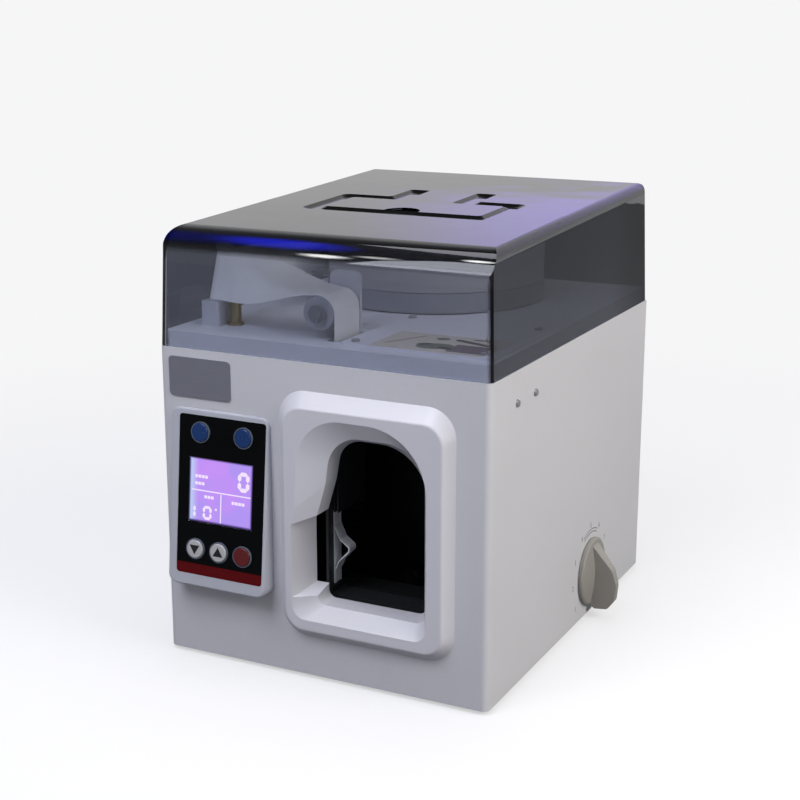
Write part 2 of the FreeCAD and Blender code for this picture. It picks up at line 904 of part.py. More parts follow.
loft(
    notch_sleeve,
    "Additive",
    "Y",
    (
        sleeve_front,
        rectangle(
            (across(d.mouth_low_left) - d.slot_wall, across(d.throat_left)),
            (up(d.notch_face_low) - d.slot_wall, up(d.notch_lip) + d.slot_wall),
        ),
    ),
    (
        THROAT_BACK,
        rectangle(
            (across(d.notch_left) - d.slot_wall, across(d.throat_left)),
            (up(d.notch_low) - d.slot_wall, up(d.notch_lip) + d.slot_wall),
        ),
    ),
)
funnel = new_body()
loft(
    funnel,
    "Additive",
    "Y",
    (
        frame_face,
        [
            (across(d.mouth_low_left), up(d.mouth_low), d.mouth_low_corner),
            (across(d.mouth_right), up(d.mouth_low), d.mouth_low_corner),
            (across(d.mouth_right), up(d.mouth_high), d.mouth_right_arch),
            (across(d.mouth_left), up(d.mouth_high), d.mouth_left_arch),
            (across(d.mouth_step_left), up(d.mouth_step + d.mouth_step_rise), d.side_bend),
            (across(d.mouth_low_left), up(d.mouth_step), 0),
        ],
    ),
    (FRONT, waist_outline(0.0)),
    (THROAT_BACK, throat_outline(0.0)),
)
notch = new_body()
notch_right = across(d.throat_left + 4.0)
notch_share = d.slot_frame_proud / (d.slot_frame_proud + d.throat_depth)
loft(
    notch,
    "Additive",
    "Y",
    (
        frame_face,
        rectangle((across(d.mouth_low_left), notch_right), (up(d.notch_face_low), up(d.mouth_step))),
    ),
    (
        FRONT,
        rectangle(
            (
                across(d.mouth_low_left + (d.notch_left - d.mouth_low_left) * notch_share),
                notch_right,
            ),
            (
                up(d.notch_face_low + (d.notch_low - d.notch_face_low) * notch_share),
                up(d.notch_lip),
            ),
        ),
    ),
    (
        THROAT_BACK,
        rectangle((across(d.notch_left), notch_right), (up(d.notch_low), up(d.notch_lip))),
    ),
)
node(cut(joined(slot_frame, sleeve, notch_sleeve), funnel, notch), "slot_frame")

# ---------------------------------------------------------------- badge plate
badge_plate = new_body()
pad(
    badge_plate,
    "Y",
    (FRONT - d.badge_thickness, FRONT),
    rectangle(
        (across(d.badge_left), across(d.badge_left + d.badge_width)),
        (up(d.badge_low), up(d.badge_low + d.badge_height)),
        d.badge_corner,
    ),
)
node(badge_plate, "badge_plate")


# ---------------------------------------------------------------- control panel
def tilt(item):
    """Stands an item drawn flat on the tilted panel: X across, Y up the face, Z out of it."""
    item.Placement = Placement(Vector(), Rotation(Vector(1, 0, 0), float(90 - d.panel_tilt)))
    item.setExpression("Placement.Rotation.Angle", "90 - Dims.panel_tilt")
    item.setExpression("Placement.Base.y", formula(FRONT - d.bezel_top_proud))
    item.setExpression("Placement.Base.z", formula(up(d.bezel_top_height)))
    return item


def tilted_rod(x, y, z, radius, length):
    """A cylinder that runs out of the panel; x, y and z are in the panel's own frame."""
    item = new_body()
    pad(item, "Z", (z, z + length), (x, y, radius))
    return tilt(item)


BEZEL_X = (PANEL_X - d.bezel_width / 2, PANEL_X + d.bezel_width / 2)
OVERLAY_MIDDLE = PANEL_X + d.overlay_offset
OVERLAY_X = (OVERLAY_MIDDLE - d.overlay_width / 2, OVERLAY_MIDDLE + d.overlay_width / 2)
OVERLAY_Y = (-(d.overlay_top + d.overlay_length), -d.overlay_top)
LCD_MIDDLE = PANEL_X + d.lcd_offset
LCD_X = (LCD_MIDDLE - d.lcd_width / 2, LCD_MIDDLE + d.lcd_width / 2)
LCD_Y = (-(d.lcd_top + d.lcd_height), -d.lcd_top)
KEYS = {
    "open_key": (PANEL_X + d.top_key_left, -d.top_key_down),
    "feed_key": (PANEL_X + d.top_key_right, -d.top_key_down),
    "down_key": (PANEL_X + d.low_key_left, -d.low_key_down),
    "up_key": (PANEL_X + d.low_key_middle, -d.low_key_down),
    "stop_key": (PANEL_X + d.low_key_right, -d.low_key_down),
}
key_hole = d.key_radius + d.fit_gap
board_face = -(d.board_depth + 1.0)
boss_spots = [
    (PANEL_X + x, y)
    for x in (-d.bezel_width / 2 + 8.0, d.bezel_width / 2 - 8.0)
    for y in (-9.0, -(d.bezel_length - 11.0))
]
boss_radius = 2.6
board_screw_radius = 1.1

bezel_shell = new_body()
bezel_block_depth = 22.0
pad(
    bezel_shell,
    "Z",
    (-bezel_block_depth, 0.0),
    rectangle(BEZEL_X, (-d.bezel_length, 0.0), d.bezel_corner),
)
fillet(bezel_shell, d.bezel_edge / 2, on(z=0.0))
pocket(
    bezel_shell,
    "Z",
    (-bezel_block_depth - THROUGH, -d.bezel_wall),
    rectangle(
        (BEZEL_X[0] + d.bezel_wall, BEZEL_X[1] - d.bezel_wall),
        (-d.bezel_length + d.bezel_wall, -d.bezel_wall),
        d.bezel_corner - d.bezel_wall,
    ),
)
pocket(
    bezel_shell,
    "Z",
    (-d.overlay_sink, THROUGH),
    rectangle(
        (OVERLAY_X[0] - 0.1, OVERLAY_X[1] + 0.1),
        (OVERLAY_Y[0] - 0.1, OVERLAY_Y[1] + 0.1),
        d.overlay_corner,
    ),
)
lcd_gap = d.fit_gap
pocket(
    bezel_shell,
    "Z",
    (-d.bezel_wall - THROUGH, THROUGH),
    rectangle((LCD_X[0] - lcd_gap, LCD_X[1] + lcd_gap), (LCD_Y[0] - lcd_gap, LCD_Y[1] + lcd_gap)),
    *[(x, y, key_hole) for x, y in KEYS.values()],
)
tilt(bezel_shell)
before_cover = block(
    (BEZEL_X[0] - THROUGH, BEZEL_X[1] + THROUGH),
    (FRONT - 2 * bezel_block_depth, FRONT),
    (up(d.bezel_top_height - d.bezel_length) - THROUGH, up(d.bezel_top_height) + THROUGH),
)
bosses = [tilted_rod(x, y, board_face, boss_radius, -d.bezel_wall - board_face + 0.5) for x, y in boss_spots]
boss_bore = 5.0
bores = [
    tilted_rod(x, y, board_face - THROUGH, board_screw_radius + d.running_gap, boss_bore + THROUGH)
    for x, y in boss_spots
]
node(cut(joined(shared(bezel_shell, before_cover), *bosses), *bores), "control_bezel")

overlay = new_body()
overlay_face = -d.overlay_sink + d.overlay_thickness
pad(
    overlay,
    "Z",
    (-d.overlay_sink, overlay_face),
    rectangle(OVERLAY_X, OVERLAY_Y, d.overlay_corner),
    rectangle((LCD_X[0] - lcd_gap, LCD_X[1] + lcd_gap), (LCD_Y[0] - lcd_gap, LCD_Y[1] + lcd_gap)),
    *[(x, y, key_hole) for x, y in KEYS.values()],
)
node(tilt(overlay), "control_overlay")


def key_ring(x, y):
    """The raised collar round a key."""
    ring = new_body()
    pad(
        ring,
        "Z",
        (overlay_face, overlay_face + d.key_ring_height),
        (x, y, d.key_ring_radius),
        (x, y, key_hole),
    )
    return tilt(ring)


node(group(*[key_ring(x, y) for x, y in KEYS.values()]), "key_rings")

key_top = overlay_face + d.key_proud
key_stop = -d.bezel_wall - d.fit_gap
flange_radius = d.key_radius + 1.2
flange_back = key_stop - 1.2
stem_radius = 2.0
switch_height = 4.0
plunger_height = 0.7
stem_end = board_face + switch_height + plunger_height + d.key_travel + 0.2


def key(x, y):
    """A round push key: its cap, the flange that keeps it in, and its stem."""
    body = new_body()
    pad(body, "Z", (flange_back, key_top), (x, y, d.key_radius - 0.1))
    fillet(body, 0.7, on(z=key_top))
    pad(body, "Z", (flange_back, key_stop), (x, y, flange_radius))
    pad(body, "Z", (stem_end, flange_back), (x, y, stem_radius))
    return tilt(body)


for name, (x, y) in KEYS.items():
    node(key(x, y), name)

lcd_glass = new_body()
glass_back = -d.bezel_wall - d.fit_gap
pad(lcd_glass, "Z", (glass_back, -d.overlay_sink + 0.1), rectangle(LCD_X, LCD_Y))
lcd_module = new_body()
lcd_rim = 4.0
module_back = glass_back - d.lcd_module_thickness
pad(
    lcd_module,
    "Z",
    (module_back, glass_back),
    rectangle((LCD_X[0] - lcd_rim, LCD_X[1] + lcd_rim), (LCD_Y[0] - lcd_rim, LCD_Y[1] + lcd_rim)),
)
pad(
    lcd_module,
    "Z",
    (board_face, module_back),
    rectangle((LCD_X[0] + 6.0, LCD_X[1] - 6.0), (LCD_Y[1] - 1.0, LCD_Y[1] + 1.6)),
)
node(group(tilt(lcd_glass), tilt(lcd_module)), "lcd_module")

display_board = new_body()
board_back = board_face - d.board_thickness
board_margin = 5.0
pad(
    display_board,
    "Z",
    (board_back, board_face),
    rectangle(
        (BEZEL_X[0] + board_margin, BEZEL_X[1] - board_margin),
        (-d.bezel_length + board_margin + 3.0, -board_margin),
    ),
    *[(x, y, board_screw_radius + d.running_gap) for x, y in boss_spots],
)


def tact_switch(x, y):
    """A small square switch on the display board, with its round plunger."""
    body = new_body()
    half = 4.0
    top = board_face + switch_height
    pad(body, "Z", (board_face, top), rectangle((x - half, x + half), (y - half, y + half)))
    pad(body, "Z", (top, top + plunger_height), (x, y, 1.75))
    return tilt(body)


switches = [tact_switch(x, y) for x, y in KEYS.values()]
node(group(tilt(display_board), *switches), "display_board")


def board_screw(x, y):
    """A screw from the back of the display board into a bezel boss."""
    body = new_body()
    pad(body, "Z", (board_back - 1.5, board_back), (x, y, 2.2))
    pad(body, "Z", (board_back, board_face + boss_bore - 0.5), (x, y, board_screw_radius))
    return tilt(body)


display_screws = [board_screw(x, y) for x, y in boss_spots]

# ---------------------------------------------------------------- deck under the lid
DECK_TOP = up(d.deck_height)
DECK_LOW = DECK_TOP - d.deck_floor
REEL_X = across(d.reel_centre_x)
REEL_Y = inward(d.reel_centre_depth)
TAPE_Y = (inward(d.tape_front), inward(d.tape_front + d.tape_width))
TAPE_X = across(d.tape_drop_x)
tape_slot = 6.0

deck_tray = new_body()


def deck_outline(inset):
    return rectangle(
        (LEFT + d.deck_inset + inset, RIGHT - d.deck_inset - inset),
        (FRONT + d.deck_inset + inset, REAR - d.deck_inset - inset),
        d.deck_corner - inset,
    )


pad(deck_tray, "Z", (COVER_TOP, DECK_LOW), deck_outline(0.0), deck_outline(d.deck_wall))
pad(
    deck_tray,
    "Z",
    (DECK_LOW, DECK_TOP),
    deck_outline(0.0),
    rectangle(
        (TAPE_X - tape_slot, TAPE_X + tape_slot - 1.5), (TAPE_Y[0] - 1.5, TAPE_Y[1] + 1.0), 2.0
    ),
    (REEL_X, REEL_Y, d.spindle_radius + d.running_gap),
)
pad(
    deck_tray,
    "Z",
    (DECK_TOP, DECK_TOP + d.reel_lift),
    (REEL_X, REEL_Y, 14.0),
    (REEL_X, REEL_Y, d.spindle_radius + d.running_gap),
)
node(deck_tray, "deck_tray")

plate_x = (across(d.cover_plate_left), RIGHT - d.deck_inset - 3.0)
plate_y = (inward(15.0), inward(120.0))
plate_z = (DECK_TOP, DECK_TOP + d.cover_plate_thickness)
deck_cover_plate = new_body()
pad(deck_cover_plate, "Z", plate_z, rectangle(plate_x, plate_y, 2.0))
node(deck_cover_plate, "deck_cover_plate")
plate_screw_inset = 8.0
SCREWS += [
    rod((x, y, plate_z[1]), "Z", d.screw_head_radius, d.screw_head_height)
    for x in (plate_x[0] + plate_screw_inset, plate_x[1] - plate_screw_inset)
    for y in (plate_y[0] + plate_screw_inset, plate_y[1] - plate_screw_inset)
]

# ---------------------------------------------------------------- smoked lid and its hinge
LID_LOW = COVER_TOP + d.lid_seat_gap
front_top = up(d.lid_front_height)
rear_top = up(d.lid_rear_height)
lid_ceiling = up(d.lid_rear_height + 20.0)
lid_slope = (rear_top - front_top) / d.body_depth
lid_lean = d.lid_draft / (rear_top - LID_LOW)


def lid_solid(inset):
    """The lid's outer form, or its hollow when inset by the wall.

    It is the space shared by a side profile, a front profile that climbs with the top,
    and a plan with rounded corners.
    """
    beyond = 10.0
    side = new_body()
    pad(
        side,
        "X",
        (LEFT - beyond, RIGHT + beyond),
        [
            (FRONT + inset, LID_LOW, 0),
            (REAR - inset, LID_LOW, 0),
            (REAR - inset - d.lid_draft, rear_top - inset, d.lid_rear_round),
            (FRONT + inset + lid_lean * (front_top - LID_LOW), front_top - inset, d.lid_front_round - inset),
        ],
    )
    section = new_body()
    low = LID_LOW - 2 * beyond
    inner_left = LEFT + inset - lid_lean * 2 * beyond
    inner_right = RIGHT - inset + lid_lean * 2 * beyond
    feature = pad(
        section,
        "Y",
        (FRONT - beyond, REAR),
        [
            (inner_left, low, 0),
            (inner_right, low, 0),
            (RIGHT - inset - d.lid_draft, rear_top - inset, d.lid_side_round - inset / 2),
            (LEFT + inset + d.lid_draft, rear_top - inset, d.lid_side_round - inset / 2),
        ],
    )
    feature.UseCustomVector = True
    feature.Direction = Vector(0, -1, -lid_slope)
    feature.AlongSketchNormal = True
    feature.setExpression("Direction.z", formula(-lid_slope))
    plan = new_body()
    spare = 0.4
    head = lid_lean * (lid_ceiling - LID_LOW)
    corner = d.lid_corner - inset
    x = (LEFT + inset - spare, RIGHT - inset + spare)
    y = (FRONT + inset - spare, REAR - inset + spare)
    loft(
        plan,
        "Additive",
        "Z",
        (LID_LOW, rectangle(x, y, corner)),
        (lid_ceiling, rectangle((x[0] + head, x[1] - head), (y[0] + head, y[1] - head), corner)),
    )
    return shared(side, section, plan)


lid_outer = lid_solid(0.0)
lid_inner = lid_solid(d.lid_wall)


def groove_outline(shrink):
    """The groove's outline, drawn across the lid and back from its front, shrunk by a margin."""
    inner = d.groove_half_width - d.groove_band - 1.0 + shrink
    step = d.groove_rear - d.groove_band + shrink
    reach = (d.groove_front + shrink, d.groove_rear - shrink, d.groove_stub_end - shrink)
    wide = d.groove_half_width - shrink
    stub = (d.groove_stub_inner + shrink, d.groove_stub_outer - shrink)
    bend = d.groove_corner
    half = [
        (wide, reach[0], bend),
        (wide, reach[1], bend),
        (stub[1], reach[1], bend / 2),
        (stub[1], reach[2], bend / 2),
        (stub[0], reach[2], bend / 2),
        (stub[0], step, bend / 2),
        (inner, step, bend / 2),
        (inner, d.groove_front + d.groove_front_band - shrink, bend / 2),
    ]
    return half + [(-x, y, radius) for x, y, radius in reversed(half)]


groove = new_body()
groove_skin = 0.5
groove_over = d.groove_side_run * groove_skin / d.lid_groove_depth
loft(
    groove,
    "Additive",
    "Z",
    (-d.lid_groove_depth, groove_outline(d.groove_side_run)),
    (groove_skin, groove_outline(-groove_over)),
)
groove.Placement = Placement(Vector(), Rotation(Vector(1, 0, 0), math.degrees(math.atan(lid_slope))))
groove.setExpression("Placement.Rotation.Angle", f"atan({formula(lid_slope)})")
groove.setExpression("Placement.Base.x", formula(across(0.0)))
groove.setExpression("Placement.Base.y", formula(inward(0.0)))
groove.setExpression("Placement.Base.z", formula(front_top))


def below_top(drop):
    """The space above a plane that lies this far under the lid's sloping top."""
    wedge = new_body()
    pad(
        wedge,
        "X",
        (LEFT, RIGHT),
        [
            (FRONT, front_top - drop, 0),
            (REAR, rear_top - drop, 0),
            (REAR, lid_ceiling, 0),
            (FRONT, lid_ceiling, 0),
        ],
    )
    return wedge


dimple_y = inward(d.groove_front + d.groove_front_band)
dimple_disc = rod((across(0.0), dimple_y, front_top - 15.0), "Z", d.dimple_radius, 60.0)
dimple_half = block(
    (across(-d.dimple_radius) - THROUGH, across(d.dimple_radius) + THROUGH),
    (dimple_y - 0.5, dimple_y + d.dimple_radius + THROUGH),
    (front_top - 16.0, lid_ceiling),
)
dimple = shared(dimple_disc, dimple_half, below_top(d.lid_groove_depth + 0.4))
HINGE_Y = REAR + d.hinge_setout
HINGE_Z = COVER_TOP
hinge_middles = [MIDDLE - d.hinge_spacing / 2, MIDDLE + d.hinge_spacing / 2]
hinge_bore = d.hinge_pin_radius + d.hinge_running_gap


def lid_lug(x):
    """A knuckle on the lid's back wall."""
    half = d.hinge_lug_width / 2
    web = block((x - half, x + half), (REAR - d.lid_wall + 0.3, HINGE_Y), (LID_LOW, LID_LOW + 5.0))
    knuckle = rod((x - half, HINGE_Y, HINGE_Z), "X", d.hinge_knuckle_radius, d.hinge_lug_width)
    return joined(web, knuckle)


def lug_bore(x):
    half = d.hinge_lug_width / 2
    return rod((x - half - THROUGH, HINGE_Y, HINGE_Z), "X", hinge_bore, d.hinge_lug_width + 2 * THROUGH)


lid_shell = joined(cut(lid_outer, lid_inner, groove, dimple), *[lid_lug(x) for x in hinge_middles])
node(cut(lid_shell, *[lug_bore(x) for x in hinge_middles]), "lid")


def hinge_bracket(x):
    """The plate on the casing's back with the two ears that hold a hinge pin."""
    half = d.hinge_lug_width / 2 + d.running_gap * 6
    outer = half + d.hinge_ear_width
    plate = block((x - outer, x + outer), (REAR, REAR + 2.0), (HINGE_Z - 24.0, HINGE_Z - 6.0))
    ears = [
        joined(
            block((low, high), (REAR, HINGE_Y), (HINGE_Z - 12.0, HINGE_Z - 0.3)),
            rod((low, HINGE_Y, HINGE_Z), "X", d.hinge_knuckle_radius, high - low),
        )
        for low, high in ((x - outer, x - half), (x + half, x + outer))
    ]
    bore = rod((x - outer - THROUGH, HINGE_Y, HINGE_Z), "X", hinge_bore, 2 * outer + 2 * THROUGH)
    return cut(joined(plate, *ears), bore)


def hinge_pin(x):
    reach = d.hinge_lug_width / 2 + d.hinge_ear_width
    return rod((x - reach, HINGE_Y, HINGE_Z), "X", d.hinge_pin_radius, 2 * reach)


def hinge_screws(x):
    """Two screw heads on a bracket's plate."""
    return [
        rod((x + side, REAR + 2.0, HINGE_Z - 18.0), "Y", 2.6, 1.4)
        for side in (-d.hinge_lug_width / 2, d.hinge_lug_width / 2)
    ]


node(group(*[hinge_bracket(x) for x in hinge_middles]), "hinge_brackets")
node(group(*[hinge_pin(x) for x in hinge_middles]), "hinge_pins")
SCREWS += [screw for x in hinge_middles for screw in hinge_screws(x)]

# ---------------------------------------------------------------- tape reel
REEL_LOW = DECK_TOP + d.reel_lift
ROLL_LOW = REEL_LOW + d.reel_base_height
ROLL_HIGH = ROLL_LOW + d.tape_width
hub_outer = d.spindle_radius + d.running_gap + d.reel_hub_wall
core_inner = d.reel_core_radius - d.reel_core_wall
ring_outer = core_inner - 0.3
ring_inner = ring_outer - 2.5
hub_top = ROLL_LOW + d.tape_width * 0.6
reel_skin = 2.5
spindle_bore = d.spindle_radius + d.running_gap
reel_base = turned(
    (REEL_X, REEL_Y, 0.0),
    "Z",
    [
        (spindle_bore, REEL_LOW, 0),
        (hub_outer, REEL_LOW, 0),
        (hub_outer, ROLL_LOW - reel_skin, 0),
        (d.reel_radius - reel_skin, ROLL_LOW - reel_skin, 0),
        (d.reel_radius - reel_skin, REEL_LOW, 0),
        (d.reel_radius, REEL_LOW, 0),
        (d.reel_radius, ROLL_LOW, 1.0),
        (ring_outer, ROLL_LOW, 0),
        (ring_outer, ROLL_LOW + 12.0, 0),
        (ring_inner, ROLL_LOW + 12.0, 0),
        (ring_inner, ROLL_LOW, 0),
        (hub_outer, ROLL_LOW, 0),
        (hub_outer, hub_top, 0),
        (spindle_bore, hub_top, 0),
    ],
)
node(reel_base, "reel_base")
reel_core = new_body()
pad(
    reel_core,
    "Z",
    (ROLL_LOW, ROLL_HIGH),
    (REEL_X, REEL_Y, d.reel_core_radius - 0.1),
    (REEL_X, REEL_Y, core_inner),
)
node(reel_core, "reel_core")
tape_roll = new_body()
pad(
    tape_roll,
    "Z",
    (ROLL_LOW, ROLL_HIGH),
    (REEL_X, REEL_Y, d.reel_radius - 0.4),
    (REEL_X, REEL_Y, d.reel_core_radius),
)
node(tape_roll, "tape_roll")
cap_low = hub_top + 0.3
cap_height = 7.0
flange_low = DECK_LOW - 3.0
reel_spindle = turned(
    (REEL_X, REEL_Y, 0.0),
    "Z",
    [
        (0.0, flange_low, 0),
        (16.0, flange_low, 0),
        (16.0, DECK_LOW, 0),
        (d.spindle_radius, DECK_LOW, 0),
        (d.spindle_radius, cap_low, 0),
        (4.0, cap_low, 0),
        (4.0, cap_low + cap_height - 2.0, 0),
        (0.0, cap_low + cap_height - 2.0, 0),
    ],
)
node(reel_spindle, "reel_spindle")
reel_cap = turned(
    (REEL_X, REEL_Y, 0.0),
    "Z",
    [
        (4.0 + d.running_gap, cap_low, 0),
        (15.0, cap_low, 0),
        (15.0, cap_low + cap_height, 1.2),
        (0.0, cap_low + cap_height, 0),
        (0.0, cap_low + cap_height - 2.0, 0),
        (4.0 + d.running_gap, cap_low + cap_height - 2.0, 0),
    ],
)
node(reel_cap, "reel_cap")

# ---------------------------------------------------------------- tape guides on the deck
POST = (across(d.post_x), inward(d.post_depth))
post_radius = 4.3
post_head_radius = 6.5
post_base_half = 7.5
POST_LOW = DECK_TOP + d.post_base_height
post_length = d.tape_width + 2.5
post_base = new_body()
pad(
    post_base,
    "Z",
    (DECK_TOP, POST_LOW),
    rectangle(
        (POST[0] - post_base_half - 1.5, POST[0] + post_base_half - 1.5),
        (POST[1] - post_base_half, POST[1] + post_base_half),
        1.5,
    ),
)
node(post_base, "post_base")


def leaning_rod(start, radius, length):
    """A cylinder along the leaning post, measured from the top of its base."""
    item = doc.addObject("Part::Cylinder", "Leaning")
    item.setExpression("Radius", formula(radius))
    item.setExpression("Height", formula(length))
    lean = math.degrees(math.atan(d.post_lean / d.tape_width))
    item.Placement = Placement(Vector(), Rotation(AXES["Y"], lean))
    item.setExpression("Placement.Rotation.Angle", "atan(Dims.post_lean / Dims.tape_width)")
    offset = start * math.sin(math.radians(lean))
    item.setExpression("Placement.Base.x", formula(POST[0] + offset))
    item.setExpression("Placement.Base.y", formula(POST[1]))
    item.setExpression("Placement.Base.z", formula(POST_LOW + start * math.cos(math.radians(lean))))
    return item


post_pin = joined(
    leaning_rod(-3.0, post_radius, post_length + 3.0),
    leaning_rod(post_length, post_head_radius, 3.0),
)
below_post = block(
    (POST[0] - 12.0, POST[0] + 12.0), (POST[1] - 12.0, POST[1] + 12.0), (POST_LOW - 12.0, POST_LOW)
)
node(cut(post_pin, below_post), "leaning_guide_post")
PIN = (across(d.post_x + 12.5), inward(d.post_depth + 5.0))
brass_pin = turned(
    (PIN[0], PIN[1], 0.0),
    "Z",
    [
        (0.0, DECK_TOP, 0),
        (d.guide_pin_radius + 1.5, DECK_TOP, 0),
        (d.guide_pin_radius + 1.5, DECK_TOP + 2.0, 0),
        (d.guide_pin_radius, DECK_TOP + 2.0, 0),
        (d.guide_pin_radius, POST_LOW, 1.0),
        (0.0, POST_LOW, 0),
    ],
)
node(brass_pin, "brass_guide_pin")

ROLLER_X = TAPE_X - d.guide_roller_radius - d.tape_thickness / 2 - d.fit_gap
ROLLER_Z = DECK_TOP + d.guide_roller_height
BRACKET_Y = (TAPE_Y[1] + 2.5, TAPE_Y[1] + 2.5 + d.bracket_thickness)
bracket_x = (ROLLER_X - d.bracket_width / 2, ROLLER_X + d.bracket_width / 2)
roller_bracket = new_body()
pad(
    roller_bracket,
    "Y",
    BRACKET_Y,
    rectangle(bracket_x, (DECK_TOP, DECK_TOP + d.bracket_height), 0, 0, 5.0, 5.0),
    (ROLLER_X, ROLLER_Z, d.guide_axle_radius + d.running_gap),
)
pad(
    roller_bracket,
    "Z",
    (DECK_TOP, DECK_TOP + d.bracket_thickness),
    rectangle(bracket_x, (BRACKET_Y[0] + 1.0, BRACKET_Y[1] + 8.0)),
)
node(roller_bracket, "roller_bracket")
bracket_screw_spots = [(bracket_x[0] + 6.0, BRACKET_Y[1] + 4.0), (bracket_x[1] - 6.0, BRACKET_Y[1] + 4.0)]
SCREWS += [rod((x, y, DECK_TOP + d.bracket_thickness), "Z", 2.6, 1.5) for x, y in bracket_screw_spots]
axle_front = TAPE_Y[0] - 5.0
guide_axle = new_body()
pad(guide_axle, "Y", (axle_front, BRACKET_Y[1] + 1.0), (ROLLER_X, ROLLER_Z, d.guide_axle_radius))
groove_y = (axle_front + 1.5, axle_front + 2.5)
pocket(
    guide_axle,
    "Y",
    groove_y,
    (ROLLER_X, ROLLER_Z, d.guide_axle_radius + THROUGH),
    (ROLLER_X, ROLLER_Z, d.guide_axle_radius - 1.0),
)
pad(guide_axle, "Y", (BRACKET_Y[1], BRACKET_Y[1] + 2.0), (ROLLER_X, ROLLER_Z, d.guide_axle_radius + 2.0))
guide_roller = new_body()
pad(
    guide_roller,
    "Y",
    TAPE_Y,
    (ROLLER_X, ROLLER_Z, d.guide_roller_radius),
    (ROLLER_X, ROLLER_Z, d.guide_axle_radius + d.running_gap),
)
fillet(guide_roller, 0.8, lambda edge: edge.Length > 2 * math.pi * 8.0 and edge.BoundBox.YLength < CLOSE)
node(guide_roller, "guide_roller")
clip_gap = 1.0
axle_clip = new_body()
clip_bore = d.guide_axle_radius - 1.0 + d.running_gap
pad(
    axle_clip,
    "Y",
    (groove_y[0] + 0.1, groove_y[1] - 0.1),
    (ROLLER_X, ROLLER_Z, d.guide_axle_radius + 2.5),
    (ROLLER_X, ROLLER_Z, clip_bore),
)
pocket(
    axle_clip,
    "Y",
    (groove_y[0] - THROUGH, groove_y[1] + THROUGH),
    rectangle((ROLLER_X - clip_gap, ROLLER_X + clip_gap), (ROLLER_Z - 10.0, ROLLER_Z)),
)
node(group(guide_axle, axle_clip), "guide_roller_axle")

# ---------------------------------------------------------------- paper tape from reel to feed rollers
FEED_Z = up(d.feed_height)
tape_half = d.tape_thickness / 2
reel_exit = float(REEL_X - d.reel_radius - tape_half - 0.3)
post_wrap = float(post_radius + tape_half + 0.3)
roller_wrap = float(d.guide_roller_radius + tape_half + d.fit_gap)
tape_middle = float(TAPE_Y[0] + d.tape_width / 2)
post_middle = Vector(POST[0] + d.post_lean / 2, POST[1], POST_LOW + 1.0 + d.tape_width / 2)
post_axis = Vector(d.post_lean, 0, d.tape_width).normalize()
UPWARD = Vector(0, 0, 1)
tape_stations = [
    (Vector(reel_exit, REEL_Y, ROLL_LOW + d.tape_width / 2), Vector(0, -1, 0), UPWARD),
]
for angle in (180.0, 210.0, 240.0, 270.0):
    turn = math.radians(angle)
    out = Vector(math.cos(turn), math.sin(turn), 0)
    tape_stations.append((post_middle + out * post_wrap, Vector(-out.y, out.x, 0), post_axis))
leave = tape_stations[-1][0]
roller_top = Vector(ROLLER_X, tape_middle, ROLLER_Z + roller_wrap)
twist_steps = 8
for step in range(1, twist_steps):
    share = step / twist_steps
    turn = math.radians(90) * (3 * share**2 - 2 * share**3)
    width_way = post_axis * math.cos(turn) + Vector(0, 1, 0) * math.sin(turn)
    tape_stations.append((leave + (roller_top - leave) * share, Vector(1, 0, 0), width_way))
for angle in (90.0, 75.0, 60.0, 45.0, 30.0, 15.0, 0.0):
    turn = math.radians(angle)
    out = Vector(math.cos(turn), 0, math.sin(turn))
    spot = Vector(ROLLER_X, tape_middle, ROLLER_Z) + out * roller_wrap
    tape_stations.append((spot, Vector(out.z, 0, -out.x), Vector(0, 1, 0)))
tape_end = Vector(TAPE_X, tape_middle, FEED_Z - 14.0)
tape_stations.append((tape_end, Vector(0, 0, -1), Vector(0, 1, 0)))


def tape_section(middle, travel, width_way):
    """The thin rectangle of the tape at one place on its way."""
    width = width_way * float(d.tape_width / 2)
    thick = travel.cross(width_way).normalize() * float(tape_half)
    corners = [middle + width + thick, middle + width - thick, middle - width - thick, middle - width + thick]
    return Part.makePolygon([*corners, corners[0]])


paper_tape = doc.addObject("Part::Feature", "PaperTape")
paper_tape.Shape = Part.makeLoft([tape_section(*station) for station in tape_stations], True, True)
node(paper_tape, "paper_tape")

# ---------------------------------------------------------------- strapping mechanism
MECH_FRONT = (inward(d.track_front - d.mech_plate), inward(d.track_front))
MECH_REAR = (inward(d.track_rear), inward(d.track_rear + d.mech_plate))
CAM_X = across(d.cam_axis_x)
CAM_Y = inward(d.cam_axis_depth)
mech_x = (across(-88.0), across(112.0))
mech_z = (BASE_TOP, up(d.body_height - 3.0))
FEED_X = TAPE_X + tape_half + d.fit_gap + d.feed_roller_radius
PINCH_X = TAPE_X - tape_half - d.fit_gap - d.pinch_roller_radius
shaft_bore = d.feed_shaft_radius + d.running_gap
window_x = (across(d.notch_left - 5.0), across(d.throat_left - 4.0), across(d.throat_right + 4.0))
window_z = (up(d.throat_low - 6.0), up(d.notch_high + 5.0), up(d.throat_high + 5.0))
note_window = [
    (window_x[0], window_z[0], 10.0),
    (window_x[2], window_z[0], 10.0),
    (window_x[2], window_z[2], 10.0),
    (window_x[1], window_z[2], 10.0),
    (window_x[1], window_z[1], 0),
    (window_x[0], window_z[1], 2.0),
]
spacer_radius = 4.0
rod_radius = 2.0
spacer_spots = [
    (x, z)
    for x in (mech_x[0] + 7.0, mech_x[1] - 7.0)
    for z in (mech_z[0] + 9.0, mech_z[1] - 9.0)
]


